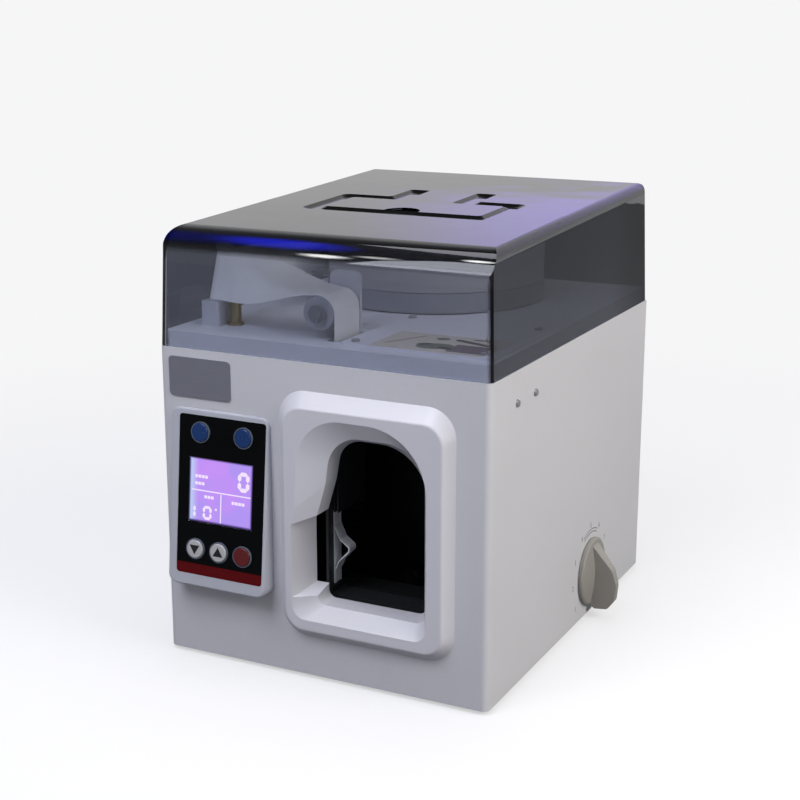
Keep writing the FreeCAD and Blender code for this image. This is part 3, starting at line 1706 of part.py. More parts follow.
def mech_plate(y, foot_y):
    """One upright steel plate with a foot bent along its lower edge."""
    plate = new_body()
    pad(
        plate,
        "Y",
        y,
        rectangle(mech_x, mech_z, 2.0),
        note_window,
        (FEED_X, FEED_Z, shaft_bore),
        (PINCH_X, FEED_Z, shaft_bore),
        *[(x, z, rod_radius + d.running_gap) for x, z in spacer_spots],
    )
    pad(plate, "Z", (BASE_TOP, BASE_TOP + d.mech_plate), rectangle(mech_x, foot_y))
    return plate


mech_plate_front = mech_plate(MECH_FRONT, (MECH_FRONT[0] - 10.0, MECH_FRONT[1] - 0.5))
mech_plate_rear = mech_plate(MECH_REAR, (MECH_REAR[0] + 0.5, MECH_REAR[1] + 10.0))


def tie_rod(x, z):
    """A rod that spaces the two plates, with a threaded end and a nut outside each."""
    spacer = rod((x, MECH_FRONT[1], z), "Y", spacer_radius, MECH_REAR[0] - MECH_FRONT[1])
    thread = rod((x, MECH_FRONT[0], z), "Y", rod_radius, MECH_REAR[1] - MECH_FRONT[0])
    thick = 2.0
    front_nut = hexagon((x, MECH_FRONT[0] - thick, z), "Y", spacer_radius, thick)
    rear_nut = hexagon((x, MECH_REAR[1], z), "Y", spacer_radius, thick)
    return joined(spacer, thread, front_nut, rear_nut)


node(group(*[tie_rod(x, z) for x, z in spacer_spots]), "tie_rods")

bracket_wall = 2.0
side_bracket = new_body()
side_x = (RIGHT - d.sheet_wall - bracket_wall, RIGHT - d.sheet_wall)
side_z = (up(d.side_screw_height - 8.0), up(d.side_screw_height + 8.0))
pad(
    side_bracket,
    "X",
    side_x,
    rectangle((MECH_FRONT[1], screw_spots[1] + FRONT + 8.0), side_z),
    *[(inward(y), up(d.side_screw_height), d.screw_radius + d.running_gap) for y in screw_spots],
)
pad(
    side_bracket,
    "Y",
    (MECH_FRONT[1], MECH_FRONT[1] + bracket_wall),
    rectangle((mech_x[1] - 3.0, side_x[0] + THROUGH), (side_z[0], side_z[1])),
)
node(joined(mech_plate_front, side_bracket), "mech_plate_front")

TRACK_SEAM = 3.0
track_middle = (MECH_FRONT[1] + MECH_REAR[0]) / 2
TRACK_FRONT = (MECH_FRONT[1], track_middle - TRACK_SEAM / 2)
TRACK_REAR = (track_middle + TRACK_SEAM / 2, MECH_REAR[0])
track_reach = d.track_clear + 2 * 2.5


def track_outline(grow):
    """The arched ring that the tape runs round, grown outwards by a width."""
    return rectangle(
        (across(d.throat_left) - grow, across(d.throat_right) + grow),
        (up(d.throat_low) - grow, up(d.throat_high) + grow),
        d.throat_low_corner + grow,
        d.throat_low_corner + grow,
        d.throat_right_arch + grow,
        d.track_left_arch + grow,
    )


def track_half(y, channel):
    """One half of the ring that carries the loop of tape, open where the press works."""
    ring = new_body()
    pad(ring, "Y", y, track_outline(track_reach), track_outline(0.0))
    pocket(ring, "Y", channel, track_outline(track_reach - 2.5), track_outline(2.5))
    press_gap = block(
        (across(d.throat_left) - track_reach - THROUGH, across(d.throat_left + 4.0)),
        (y[0] - THROUGH, y[1] + THROUGH),
        (up(d.notch_low - 9.0), up(d.notch_high + 5.0)),
    )
    chute_gap = block(
        (TAPE_X - 3.4, TAPE_X + 3.4),
        (y[0] - THROUGH, y[1] + THROUGH),
        (up(d.throat_high - 40.0), up(d.throat_high + 12.0)),
    )
    return cut(ring, press_gap, chute_gap)


node(track_half(TRACK_FRONT, (TRACK_FRONT[0] + 2.0, TRACK_FRONT[1] + THROUGH)), "track_front_half")
node(track_half(TRACK_REAR, (TRACK_REAR[0] - THROUGH, TRACK_REAR[1] - 2.0)), "track_rear_half")

chute_z = (up(118.0), FEED_Z - 11.0)
chute_wall = 1.0
chute_space = 1.8
chute_plates = [
    block((low, low + chute_wall), (MECH_FRONT[1], MECH_REAR[0]), chute_z)
    for low in (TAPE_X - chute_space / 2 - chute_wall, TAPE_X + chute_space / 2)
]

guide_plate = new_body()
guide_plate_x = (across(d.throat_left - 2.4), across(d.throat_left - 0.4))
pad(
    guide_plate,
    "X",
    guide_plate_x,
    [
        (inward(d.throat_depth + 0.5), up(d.notch_high + 5.0), 0),
        (inward(d.throat_depth + 0.5), up(58.0), 1.0),
        (inward(d.throat_depth + 4.5), up(58.0), 1.0),
        (inward(d.throat_depth + 13.0), up(78.0), 2.0),
        (inward(d.throat_depth + 13.0), up(d.notch_high + 5.0), 0),
    ],
)
node(group(guide_plate, *chute_plates), "tape_guides")

note_spring = new_body()
spring_y = (MECH_FRONT[1] + 2.5, MECH_FRONT[1] + 12.5)
spring_x = guide_plate_x[1]
spring_skin = 0.8
spring_z = (up(63.0), up(118.0))
nose = [
    (spring_x + spring_skin, up(72.0), 0),
    (spring_x + 4.5, up(80.0), 2.0),
    (spring_x + 14.6, up(90.5), 3.5),
    (spring_x + 5.3, up(97.5), 2.0),
    (spring_x + spring_skin, up(107.0), 0),
]
nose_hollow = [
    (spring_x + spring_skin, up(74.0), 0),
    (spring_x + 3.9, up(80.9), 1.2),
    (spring_x + 13.2, up(90.5), 2.7),
    (spring_x + 4.8, up(96.8), 1.2),
    (spring_x + spring_skin, up(104.7), 0),
]
pad(
    note_spring,
    "Y",
    spring_y,
    [
        (spring_x, spring_z[1], 0),
        (spring_x, spring_z[0], 0),
        (spring_x + spring_skin, spring_z[0], 0),
        *nose,
        (spring_x + spring_skin, spring_z[1], 0),
    ],
    nose_hollow,
)
node(note_spring, "note_spring")

# ---------------------------------------------------------------- tape feed
def feed_rod(x, radius, y):
    return rod((x, y[0], FEED_Z), "Y", radius, y[1] - y[0])


feed_shaft_y = (MECH_FRONT[0] - 1.0, MECH_REAR[1] + 10.0)
pinch_shaft_y = (MECH_FRONT[0] - 1.0, MECH_REAR[1] - 0.3)


def roller_on_shaft(x, radius, shaft_y):
    """A rubber sleeve and the steel shaft that it turns with."""
    sleeve_bore = feed_rod(x, shaft_bore, TAPE_Y)
    return group(
        cut(feed_rod(x, radius, TAPE_Y), sleeve_bore), feed_rod(x, d.feed_shaft_radius, shaft_y)
    )


node(roller_on_shaft(FEED_X, d.feed_roller_radius, feed_shaft_y), "feed_roller")
node(roller_on_shaft(PINCH_X, d.pinch_roller_radius, pinch_shaft_y), "pinch_roller")
motor_y = (MECH_REAR[1], MECH_REAR[1] + d.feed_motor_length)
half_motor = d.feed_motor_size / 2
feed_motor = new_body()
pad(
    feed_motor,
    "Y",
    motor_y,
    rectangle((FEED_X - half_motor, FEED_X + half_motor), (FEED_Z - half_motor, FEED_Z + half_motor), 4.0),
)
pocket(feed_motor, "Y", (motor_y[0] - THROUGH, motor_y[0] + 12.0), (FEED_X, FEED_Z, shaft_bore))
node(feed_motor, "feed_motor")

# ---------------------------------------------------------------- press, heater and cutter
BARS = ["clamp_bar", "heater_bar", "cutter_bar"]
bar_z = [up(d.bar_first_height + i * d.bar_pitch) for i in range(len(BARS))]
bar_y = (CAM_Y - d.bar_width / 2, CAM_Y + d.bar_width / 2)
bar_gap = d.running_gap
block_x = (across(d.press_block_left), across(d.press_block_right))
bar_x = (block_x[0] - 4.0, block_x[1] + 2.0)
nose_x = CAM_X + d.cam_radius + 0.4
nose_half = 3.0
press_block = new_body()
pad(
    press_block,
    "X",
    block_x,
    rectangle((bar_y[0] - 4.0, MECH_REAR[0]), (bar_z[0] - 11.0, bar_z[-1] + 10.0), 0.5),
    *[
        rectangle(
            (bar_y[0] - bar_gap, bar_y[1] + bar_gap),
            (z - d.bar_height / 2 - bar_gap, z + d.bar_height / 2 + bar_gap),
        )
        for z in bar_z
    ],
)
node(press_block, "press_block")
head_length = 8.0
head_half = {"clamp_bar": 5.0, "heater_bar": 3.2, "cutter_bar": 0.6}
for name, z in zip(BARS, bar_z):
    half = d.bar_height / 2
    bar = joined(
        block((nose_x, bar_x[0]), (CAM_Y - nose_half, CAM_Y + nose_half), (z - half, z + half)),
        block((bar_x[0], bar_x[1] - head_length), bar_y, (z - half, z + half)),
        block((bar_x[1] - head_length, bar_x[1]), bar_y, (z - head_half[name], z + head_half[name])),
    )
    node(bar, name)

cam_bore = d.camshaft_radius + d.running_gap
rise_points = [i / 6 for i in range(7)]
cam_face_angle = float(d.cam_turn)


def cam_radius(turn):
    """Radius of a cam where it meets its bar after this turn, in degrees."""
    if turn <= cam_face_angle:
        return float(d.cam_radius + d.cam_lift * turn / cam_face_angle)
    back = (turn - cam_face_angle) / (290.0 - cam_face_angle)
    return float(d.cam_radius + d.cam_lift * (1 - back) ** 2 * (1 + 2 * back))


def cam_point(turn, z):
    angle = math.radians(-turn)
    radius = cam_radius(turn)
    return Vector(CAM_X + radius * math.cos(angle), CAM_Y + radius * math.sin(angle), z)


def cam_disc(z):
    """One cam: a steady rise over its working turn, a smooth fall, and a round rest."""
    low = float(z - d.cam_thickness / 2)
    rise = Part.BSplineCurve()
    rise.interpolate([cam_point(cam_face_angle * share, low) for share in rise_points])
    fall = Part.BSplineCurve()
    fall.interpolate(
        [cam_point(cam_face_angle + (290.0 - cam_face_angle) * share, low) for share in rise_points]
    )
    middle = Vector(CAM_X, CAM_Y, low)
    start, end = cam_point(0.0, low), cam_point(290.0, low)
    dwell = math.radians(-325.0)
    between = middle + Vector(math.cos(dwell), math.sin(dwell), 0) * float(d.cam_radius)
    rest = Part.Arc(end, between, start)
    outer = Part.Wire([rise.toShape(), fall.toShape(), rest.toShape()])
    bore = Part.Wire(Part.makeCircle(float(cam_bore), middle))
    disc = doc.addObject("Part::Feature", "Cam")
    disc.Shape = Part.Face([outer, bore]).extrude(Vector(0, 0, float(d.cam_thickness)))
    return disc


node(group(*[cam_disc(z) for z in bar_z]), "press_cams")
cam_plate_z = [(up(60.0), up(62.0)), (up(126.0), up(128.0))]
motor_top = up(40.0)
shaft_low = motor_top - 9.0
shaft_high = cam_plate_z[1][1] + 3.0
node(rod((CAM_X, CAM_Y, shaft_low), "Z", d.camshaft_radius, shaft_high - shaft_low), "camshaft")
cam_plates = [
    cut(
        block((CAM_X - 16.0, CAM_X + 16.0), (MECH_FRONT[1], MECH_REAR[0]), span),
        rod((CAM_X, CAM_Y, span[0] - THROUGH), "Z", cam_bore, 2 * THROUGH + span[1] - span[0]),
    )
    for span in cam_plate_z
]
node(joined(mech_plate_rear, *cam_plates), "mech_plate_rear")
node(
    cut(
        rod((CAM_X, CAM_Y, BASE_TOP), "Z", d.press_motor_radius, motor_top - BASE_TOP),
        rod((CAM_X, CAM_Y, shaft_low - 0.3), "Z", cam_bore, motor_top - shaft_low + THROUGH),
    ),
    "press_motor",
)

stop_y = (inward(d.note_stop_depth), inward(d.note_stop_depth + 2.0))
stop_x = (across(d.notch_left - 18.0), across(d.throat_right + 16.0))
stop_z = (up(d.throat_low - 6.0), up(d.throat_high + 3.0))
stop_rod_radius = 4.0
note_stop = new_body()
pad(note_stop, "Y", stop_y, rectangle(stop_x, stop_z, 4.0))
for x in (stop_x[0] + 6.0, stop_x[1] - 6.0):
    pad(note_stop, "Y", (MECH_REAR[1], stop_y[0]), (x, (stop_z[0] + stop_z[1]) / 2, stop_rod_radius))
node(note_stop, "note_stop")

# ---------------------------------------------------------------- electronics
board_x = (across(d.main_board_left), across(d.main_board_left + d.main_board_width))
board_y = (inward(d.main_board_front), inward(d.main_board_front + d.main_board_depth))
board_z = (BASE_TOP + d.standoff_height, BASE_TOP + d.standoff_height + d.board_thickness)
standoff_inset = 5.0
standoff_spots = [
    (x, y)
    for x in (board_x[0] + standoff_inset, board_x[1] - standoff_inset)
    for y in (board_y[0] + standoff_inset, board_y[1] - standoff_inset)
]
main_board = new_body()
pad(main_board, "Z", board_z, rectangle(board_x, board_y, 1.0))
standoffs = [hexagon((x, y, BASE_TOP), "Z", 3.2, d.standoff_height) for x, y in standoff_spots]
standoff_screws = [rod((x, y, board_z[1]), "Z", 2.6, 1.6) for x, y in standoff_spots]
node(group(*standoffs, *standoff_screws, *display_screws), "board_hardware")


def on_board(x, y, z):
    """A box of a component, placed from the board's front left corner and standing on it."""
    return block(
        (board_x[0] + x[0], board_x[0] + x[1]),
        (board_y[0] + y[0], board_y[0] + y[1]),
        (board_z[1], board_z[1] + z),
    )


components = [
    on_board((14.0, 48.0), (96.0, 104.0), 28.0),
    on_board((60.0, 78.0), (70.0, 98.0), 20.0),
    on_board((20.0, 48.0), (30.0, 58.0), 3.0),
    on_board((60.0, 80.0), (26.0, 40.0), 3.0),
    on_board((20.0, 50.0), (6.0, 13.0), 8.0),
    on_board((60.0, 96.0), (6.0, 13.0), 8.0),
]
components += [
    rod((board_x[0] + x, board_y[0] + y, board_z[1]), "Z", 8.0, 22.0)
    for x, y in ((26.0, 76.0), (46.0, 76.0))
]
node(group(main_board, *components), "main_board")
coil_x = (across(d.transformer_left), across(d.transformer_left + d.transformer_width))
coil_y = (inward(d.transformer_front), inward(d.transformer_front + d.transformer_depth))
coil_top = BASE_TOP + d.transformer_height
transformer = joined(
    block(coil_x, (coil_y[0] + 12.0, coil_y[1] - 12.0), (BASE_TOP, coil_top)),
    block((coil_x[0] + 12.0, coil_x[1] - 12.0), coil_y, (BASE_TOP + 9.0, coil_top - 9.0)),
)
node(transformer, "transformer")

# ---------------------------------------------------------------- heat dial
wall_inside = RIGHT - d.sheet_wall
nut_height = 2.0
shaft_hole = d.pot_shaft_radius + d.running_gap
pot_shaft_low = wall_inside - 8.0
knob_low = RIGHT + d.knob_gap
potentiometer = cut(
    joined(
        rod((wall_inside - 11.0, DIAL_Y, DIAL_Z), "X", d.pot_body_radius, 11.0),
        rod((wall_inside, DIAL_Y, DIAL_Z), "X", d.pot_bushing_radius, d.sheet_wall + nut_height + 0.6),
    ),
    rod((pot_shaft_low - 0.3, DIAL_Y, DIAL_Z), "X", shaft_hole, 20.0),
)
dial_nut = cut(
    hexagon((RIGHT, DIAL_Y, DIAL_Z), "X", 7.0, nut_height),
    rod((RIGHT, DIAL_Y, DIAL_Z), "X", d.pot_bushing_radius + d.running_gap, nut_height),
)
node(group(potentiometer, dial_nut), "potentiometer")
dial_shaft_end = RIGHT + 15.0
dial_shaft = rod((pot_shaft_low, DIAL_Y, DIAL_Z), "X", d.pot_shaft_radius, dial_shaft_end - pot_shaft_low)
skirt = turned(
    (RIGHT, DIAL_Y, DIAL_Z),
    "X",
    [
        (0.0, d.knob_gap, 0),
        (d.knob_skirt_radius, d.knob_gap, 0),
        (d.knob_skirt_radius, d.knob_skirt_height - 1.0, 0),
        (d.knob_skirt_radius - 1.5, d.knob_skirt_height, 0),
        (10.0, d.knob_skirt_height + 2.4, 0),
        (0.0, d.knob_skirt_height + 3.0, 0),
    ],
)
grip_side = new_body()
pad(
    grip_side,
    "Y",
    (DIAL_Y - d.knob_grip_width, DIAL_Y + d.knob_grip_width),
    [
        (RIGHT + 1.5, DIAL_Z - d.knob_grip_drop + 4.0, 0),
        (RIGHT + 7.0, DIAL_Z - d.knob_grip_drop, 2.0),
        (RIGHT + d.knob_reach - 6.5, DIAL_Z - d.knob_grip_drop + 0.5, 4.0),
        (RIGHT + d.knob_reach - 1.5, DIAL_Z - 21.5, 4.0),
        (RIGHT + d.knob_reach, DIAL_Z - 8.5, 12.0),
        (RIGHT + d.knob_reach - 3.5, DIAL_Z + 3.5, 10.0),
        (RIGHT + d.knob_skirt_height, DIAL_Z + d.knob_grip_rise, 2.0),
        (RIGHT + 1.5, DIAL_Z + d.knob_grip_rise, 0),
    ],
)
grip_top = new_body()
pad(
    grip_top,
    "Z",
    (DIAL_Z - d.knob_grip_drop - THROUGH, DIAL_Z + d.knob_grip_rise + THROUGH),
    [
        (RIGHT + 1.5, DIAL_Y - d.knob_grip_width / 2, 0),
        (RIGHT + d.knob_reach + THROUGH, DIAL_Y - d.knob_grip_width / 4, 2.2),
        (RIGHT + d.knob_reach + THROUGH, DIAL_Y + d.knob_grip_width / 4, 2.2),
        (RIGHT + 1.5, DIAL_Y + d.knob_grip_width / 2, 0),
    ],
)
knob_recess = rod((RIGHT, DIAL_Y, DIAL_Z), "X", 9.0, nut_height + 1.2)
knob_bore = rod((RIGHT, DIAL_Y, DIAL_Z), "X", shaft_hole, dial_shaft_end + 0.3 - RIGHT)
knob = cut(joined(skirt, shared(grip_side, grip_top)), knob_recess, knob_bore)
node(group(knob, dial_shaft), "dial_knob")
node(group(*SCREWS), "casing_screws")

# ---------------------------------------------------------------- check and write
doc.recompute()
for item in doc.Objects:
    if "Invalid" in item.State or "Error" in item.State:
        raise RuntimeError(f"{item.Label} failed: {item.State}")
for item in NODES:
    if item.Shape.isNull() or not item.Shape.isValid() or not item.Shape.Solids:
        raise RuntimeError(f"{item.Label} has no valid shape")
os.makedirs("parts", exist_ok=True)
for item in NODES:
    item.Shape.exportStep(f"parts/{item.Label}.step")
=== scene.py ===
"""Banknote strapping machine: its looks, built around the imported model, in metres, +Z up."""
import math

import bmesh
import bpy
from mathutils import Matrix, Vector


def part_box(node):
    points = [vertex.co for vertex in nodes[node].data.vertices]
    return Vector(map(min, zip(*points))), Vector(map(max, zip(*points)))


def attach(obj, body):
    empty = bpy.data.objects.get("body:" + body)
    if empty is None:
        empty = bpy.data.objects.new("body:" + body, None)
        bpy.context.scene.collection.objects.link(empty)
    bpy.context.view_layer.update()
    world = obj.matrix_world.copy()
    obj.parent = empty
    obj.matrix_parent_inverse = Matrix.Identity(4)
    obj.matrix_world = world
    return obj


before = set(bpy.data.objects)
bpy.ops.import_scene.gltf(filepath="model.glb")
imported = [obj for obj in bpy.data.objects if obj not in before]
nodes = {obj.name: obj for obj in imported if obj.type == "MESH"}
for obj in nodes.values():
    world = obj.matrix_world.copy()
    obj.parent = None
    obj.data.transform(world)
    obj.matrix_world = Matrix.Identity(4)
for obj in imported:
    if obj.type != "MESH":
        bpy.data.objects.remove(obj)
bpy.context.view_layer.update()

MM = 0.001

# ------------------------------------------------------------------ view
# A portrait lens of about 69 mm on a full frame, set 1.2 m from the machine, a little
# above the lid and to the right of the front.
camera = bpy.data.objects.new("camera", bpy.data.cameras.new("camera"))
bpy.context.scene.collection.objects.link(camera)
camera_drop, camera_turn = 14.639, 26.555
camera.data.sensor_width = 36.0
camera.data.lens = 68.86
camera.data.clip_start = 0.05
camera.location = (0.49260, -1.04088, 0.47375)
camera.rotation_euler = (math.radians(90 - camera_drop), 0.0, math.radians(camera_turn))
bpy.context.scene.camera = camera
bpy.context.scene.view_settings.view_transform = "Standard"


# ------------------------------------------------------------------ studio
# A pale matt floor and an even pale room. The floor throws back less light than it
# shows, as a table does that is darker than the backdrop behind it.
def linear(code):
    """An sRGB hex colour as linear red, green, blue and alpha."""
    shares = [int(code[i : i + 2], 16) / 255 for i in (1, 3, 5)]
    return (*[s / 12.92 if s <= 0.04045 else ((s + 0.055) / 1.055) ** 2.4 for s in shares], 1.0)


def add(tree, kind, inputs=(), **settings):
    """Adds a node; inputs are (socket, value or another node's output) pairs."""
    made = tree.nodes.new(kind)
    for name, value in settings.items():
        setattr(made, name, value)
    for socket, value in inputs:
        if isinstance(value, bpy.types.NodeSocket):
            tree.links.new(value, made.inputs[socket])
        else:
            made.inputs[socket].default_value = value
    return made


def sums(tree, operation, first, second=0.0):
    """A step of arithmetic on two numbers."""
    return add(tree, "ShaderNodeMath", [(0, first), (1, second)], operation=operation).outputs[0]


def blend(tree, share, first, second):
    """A colour that goes from the first to the second with the share."""
    inputs = [(0, share), (6, first), (7, second)]
    return add(tree, "ShaderNodeMix", inputs, data_type="RGBA").outputs[2]


def shader_mix(tree, share, first, second):
    """A shader that goes from the first to the second with the share."""
    inputs = [(0, share), (1, first.outputs[0]), (2, second.outputs[0])]
    return add(tree, "ShaderNodeMixShader", inputs)


def backdrop(tree, code, strength):
    """An even light of the room around the machine."""
    return add(tree, "ShaderNodeBackground", [("Color", linear(code)), ("Strength", strength)])


def seen_ray(tree, gloss):
    """1 for a ray from the eye or through glass, the gloss share for a mirrored one, else 0."""
    rays = add(tree, "ShaderNodeLightPath").outputs
    mirrored = sums(tree, "MULTIPLY", rays["Is Glossy Ray"], gloss)
    direct = sums(tree, "MAXIMUM", rays["Is Camera Ray"], mirrored)
    return sums(tree, "MAXIMUM", direct, rays["Is Transmission Ray"])


def fade(tree, value, start, end, low=0.0, high=1.0):
    """A smooth change from low to high while a value goes from start to end."""
    inputs = [("Value", value), ("From Min", start), ("From Max", end)]
    inputs += [("To Min", low), ("To Max", high)]
    return add(tree, "ShaderNodeMapRange", inputs, interpolation_type="SMOOTHSTEP").outputs[0]


# What the machine mirrors: pale walls under a dark ceiling, dimmer in front of it, and a
# violet sign behind it on the right. It is seen only in glossy surfaces.
world = bpy.data.worlds.new("room")
world.use_nodes = True
bpy.context.scene.world = world
tree = world.node_tree
tree.nodes.clear()
direction = add(tree, "ShaderNodeTexCoord").outputs["Generated"]
way = add(tree, "ShaderNodeSeparateXYZ", [(0, direction)])
bearing = sums(tree, "DIVIDE", way.outputs[0], way.outputs[1])
sign = fade(tree, bearing, -0.577, -0.364)
for limit in (
    fade(tree, way.outputs[2], 0.182, 0.198),
    fade(tree, way.outputs[2], 0.32, 0.48, 1.0, 0.0),
    fade(tree, bearing, 0.0, 0.5, 1.0, 0.0),
    fade(tree, way.outputs[1], 0.0, 0.3),
):
    sign = sums(tree, "MULTIPLY", sign, limit)
in_front = fade(tree, way.outputs[1], -0.6, 0.1, 0.45, 1.0)
pale = sums(tree, "MULTIPLY", in_front, fade(tree, way.outputs[2], 0.45, 0.80, 0.82, 0.13))
walls = backdrop(tree, "#F6F6F7", pale)
violet = backdrop(tree, "#CFC6FF", 1.5)
mirrored = shader_mix(tree, sign, walls, violet)
# small lights overhead: the middle and half size in X and Y of each, its colour and strength
overhead = fade(tree, way.outputs[2], 0.1, 0.3)
for middle, half, code, power in (
    ((-0.60, -0.06), (0.150, 0.46), "#2A30B0", 2.4),
    ((-0.508, -0.06), (0.050, 0.36), "#2C34FF", 7.5),
    ((-0.484, -0.530), (0.018, 0.09), "#FFFFFF", 22.0),
    ((-0.455, -0.430), (0.017, 0.07), "#FFFFFF", 10.0),
    ((-0.396, -0.207), (0.015, 0.09), "#FFFFFF", 26.0),
):
    apart = direction
    for operation, vector in (
        ("SUBTRACT", (*middle, 0.0)),
        ("MULTIPLY", (1 / half[0], 1 / half[1], 0.0)),
    ):
        inputs = [(0, apart), (1, vector)]
        apart = add(tree, "ShaderNodeVectorMath", inputs, operation=operation).outputs[0]
    apart = add(tree, "ShaderNodeVectorMath", [(0, apart)], operation="LENGTH")
    glow = fade(tree, apart.outputs["Value"], 0.2, 1.0, 1.0, 0.0)
    spot = sums(tree, "MULTIPLY", glow, overhead)
    mirrored = shader_mix(tree, spot, mirrored, backdrop(tree, code, power))
room_seen = backdrop(tree, "#F6F6F7", 1.0)
room_light = backdrop(tree, "#ECEEFA", 0.34)
glossy_ray = add(tree, "ShaderNodeLightPath").outputs["Is Glossy Ray"]
lit_or_mirrored = shader_mix(tree, glossy_ray, room_light, mirrored)
room_mix = shader_mix(tree, seen_ray(tree, gloss=0.0), lit_or_mirrored, room_seen)
add(tree, "ShaderNodeOutputWorld", [("Surface", room_mix.outputs[0])])

floor_half = 3.0
floor_mesh = bpy.data.meshes.new("floor")
floor_mesh.from_pydata(
    [(x * floor_half, y * floor_half, 0.0) for x, y in ((-1, -1), (1, -1), (1, 1), (-1, 1))],
    [],
    [(0, 1, 2, 3)],
)
floor = bpy.data.objects.new("floor", floor_mesh)
bpy.context.scene.collection.objects.link(floor)
floor_paint = bpy.data.materials.new("matt_floor_paint")
floor_paint.use_nodes = True
tree = floor_paint.node_tree
tree.nodes.clear()
floor_matt = add(tree, "ShaderNodeBsdfDiffuse", [("Color", linear("#646466"))])
floor_shown = add(tree, "ShaderNodeBsdfDiffuse", [("Color", linear("#F2F2F3"))])
floor_haze = add(tree, "ShaderNodeEmission", [("Color", linear("#F6F6F7")), ("Strength", 1.0)])
floor_place = add(tree, "ShaderNodeTexCoord").outputs["Object"]
floor_reach = add(tree, "ShaderNodeVectorMath", [(0, floor_place)], operation="LENGTH")
floor_fade = fade(tree, floor_reach.outputs["Value"], 0.25, 1.1, 0.6, 1.0)
floor_pale = shader_mix(tree, floor_fade, floor_shown, floor_haze)
floor_mix = shader_mix(tree, seen_ray(tree, gloss=0.15), floor_matt, floor_pale)
add(tree, "ShaderNodeOutputMaterial", [("Surface", floor_mix.outputs[0])])
floor_mesh.materials.append(floor_paint)


def soft_lamp(name, spot, size, watts, code):
    """A soft box of a width and height that faces the middle of the machine."""
    lamp = bpy.data.objects.new(name, bpy.data.lights.new(name, "AREA"))
    bpy.context.scene.collection.objects.link(lamp)
    lamp.data.shape = "RECTANGLE"
    lamp.data.size, lamp.data.size_y = size
    lamp.data.energy = watts
    lamp.data.color = linear(code)[:3]
    lamp.location = spot
    aim = Vector((0.0, 0.0, 0.15)) - Vector(spot)
    lamp.rotation_euler = aim.to_track_quat("-Z", "Y").to_euler()


soft_lamp("key_lamp", (1.55, -0.22, 1.10), (1.1, 1.1), 25.5, "#FFFBF4")
soft_lamp("front_lamp", (-0.28, -1.15, 1.50), (0.9, 0.9), 18.2, "#EEF1FF")
soft_lamp("top_lamp", (-0.1, 0.15, 1.7), (0.9, 0.9), 9.0, "#F4F2FF")


# ------------------------------------------------------------------ casing cover and rear panel
# Folded 2 mm steel sheet with a light powder coat. The baked powder leaves a soft gloss and a
# fine orange peel, about 1.5 mm from one swelling to the next.
def material(name):
    """A new material with an empty node tree."""
    made = bpy.data.materials.new(name)
    made.use_nodes = True
    made.node_tree.nodes.clear()
    return made


def coated(
    name,
    code,
    roughness,
    grain,
    relief,
    spread=0.05,
    stretch=(1, 1, 1),
    metallic=0.0,
    coat=0.0,
    gloss=0.5,
):
    """A finish with a colour that drifts a little and a fine relief; grain and relief in mm."""
    drift_size = 45 * MM
    made = material(name)
    tree = made.node_tree
    place = add(tree, "ShaderNodeTexCoord")
    spot = add(
        tree,
        "ShaderNodeMapping",
        [("Vector", place.outputs["Object"]), ("Scale", [s / (grain * MM) for s in stretch])],
    )
    fine = add(
        tree,
        "ShaderNodeTexNoise",
        [("Vector", spot.outputs[0]), ("Scale", 1.0), ("Detail", 3.0), ("Roughness", 0.55)],
    )
    broad = add(
        tree,
        "ShaderNodeTexNoise",
        [("Vector", place.outputs["Object"]), ("Scale", 1 / drift_size), ("Detail", 4.0)],
    )
    base = linear(code)
    dark = [c * (1 - spread) for c in base[:3]] + [1.0]
    light = [min(1.0, c * (1 + spread)) for c in base[:3]] + [1.0]
    drift = sums(tree, "ADD", broad.outputs[0], fine.outputs[0])
    share = add(
        tree,
        "ShaderNodeMapRange",
        [("Value", drift), ("From Min", 0.7), ("From Max", 1.3)],
    )
    tone = blend(tree, share.outputs[0], dark, light)
    dull = add(
        tree,
        "ShaderNodeMapRange",
        [
            ("Value", broad.outputs[0]),
            ("From Min", 0.3),
            ("From Max", 0.7),
            ("To Min", max(0.02, roughness - 0.05)),
            ("To Max", roughness + 0.05),
        ],
    )
    bump = add(
        tree,
        "ShaderNodeBump",
        [("Height", fine.outputs[0]), ("Distance", relief * MM), ("Strength", 1.0)],
    )
    body = add(
        tree,
        "ShaderNodeBsdfPrincipled",
        [
            ("Base Color", tone),
            ("Roughness", dull.outputs[0]),
            ("Normal", bump.outputs[0]),
            ("Metallic", metallic),
            ("Specular IOR Level", gloss),
            ("Coat Weight", coat),
            ("Coat Roughness", 0.08),
        ],
    )
    add(tree, "ShaderNodeOutputMaterial", [("Surface", body.outputs[0])])
    return made


def dress(finish, *names):
    """Gives CAD pieces a finish in place of their plain one."""
    for name in names:
        slots = nodes[name].data.materials
        slots.clear()
        slots.append(finish)


powder_coat = coated("powder_coated_steel", "#CFCFD2", 0.40, grain=1.5, relief=0.012, spread=0.02)
dress(powder_coat, "main_cover", "rear_panel")

# ------------------------------------------------------------------ base plate, brackets, screws
# Mild steel with a bright zinc plating, whose blue-grey drifts a little in tone. The casing's
# screws are nickel plated and a shade duller.
zinc = coated(
    "zinc_plated_steel", "#A9ABB0", 0.33, grain=2.5, relief=0.01, spread=0.10, metallic=1.0
)
dress(zinc, "base_plate", "hinge_brackets", "board_hardware", "potentiometer")
screw_steel = coated(
    "nickel_plated_screw", "#A3A4A7", 0.34, grain=0.8, relief=0.01, spread=0.10, metallic=0.5
)
dress(screw_steel, "casing_screws")

# ------------------------------------------------------------------ feet
# Four moulded rubber discs, matt, with a tone that drifts a little.
foot_rubber = coated("moulded_rubber", "#242424", 0.85, grain=0.7, relief=0.02, spread=0.15)
dress(foot_rubber, "rubber_feet")

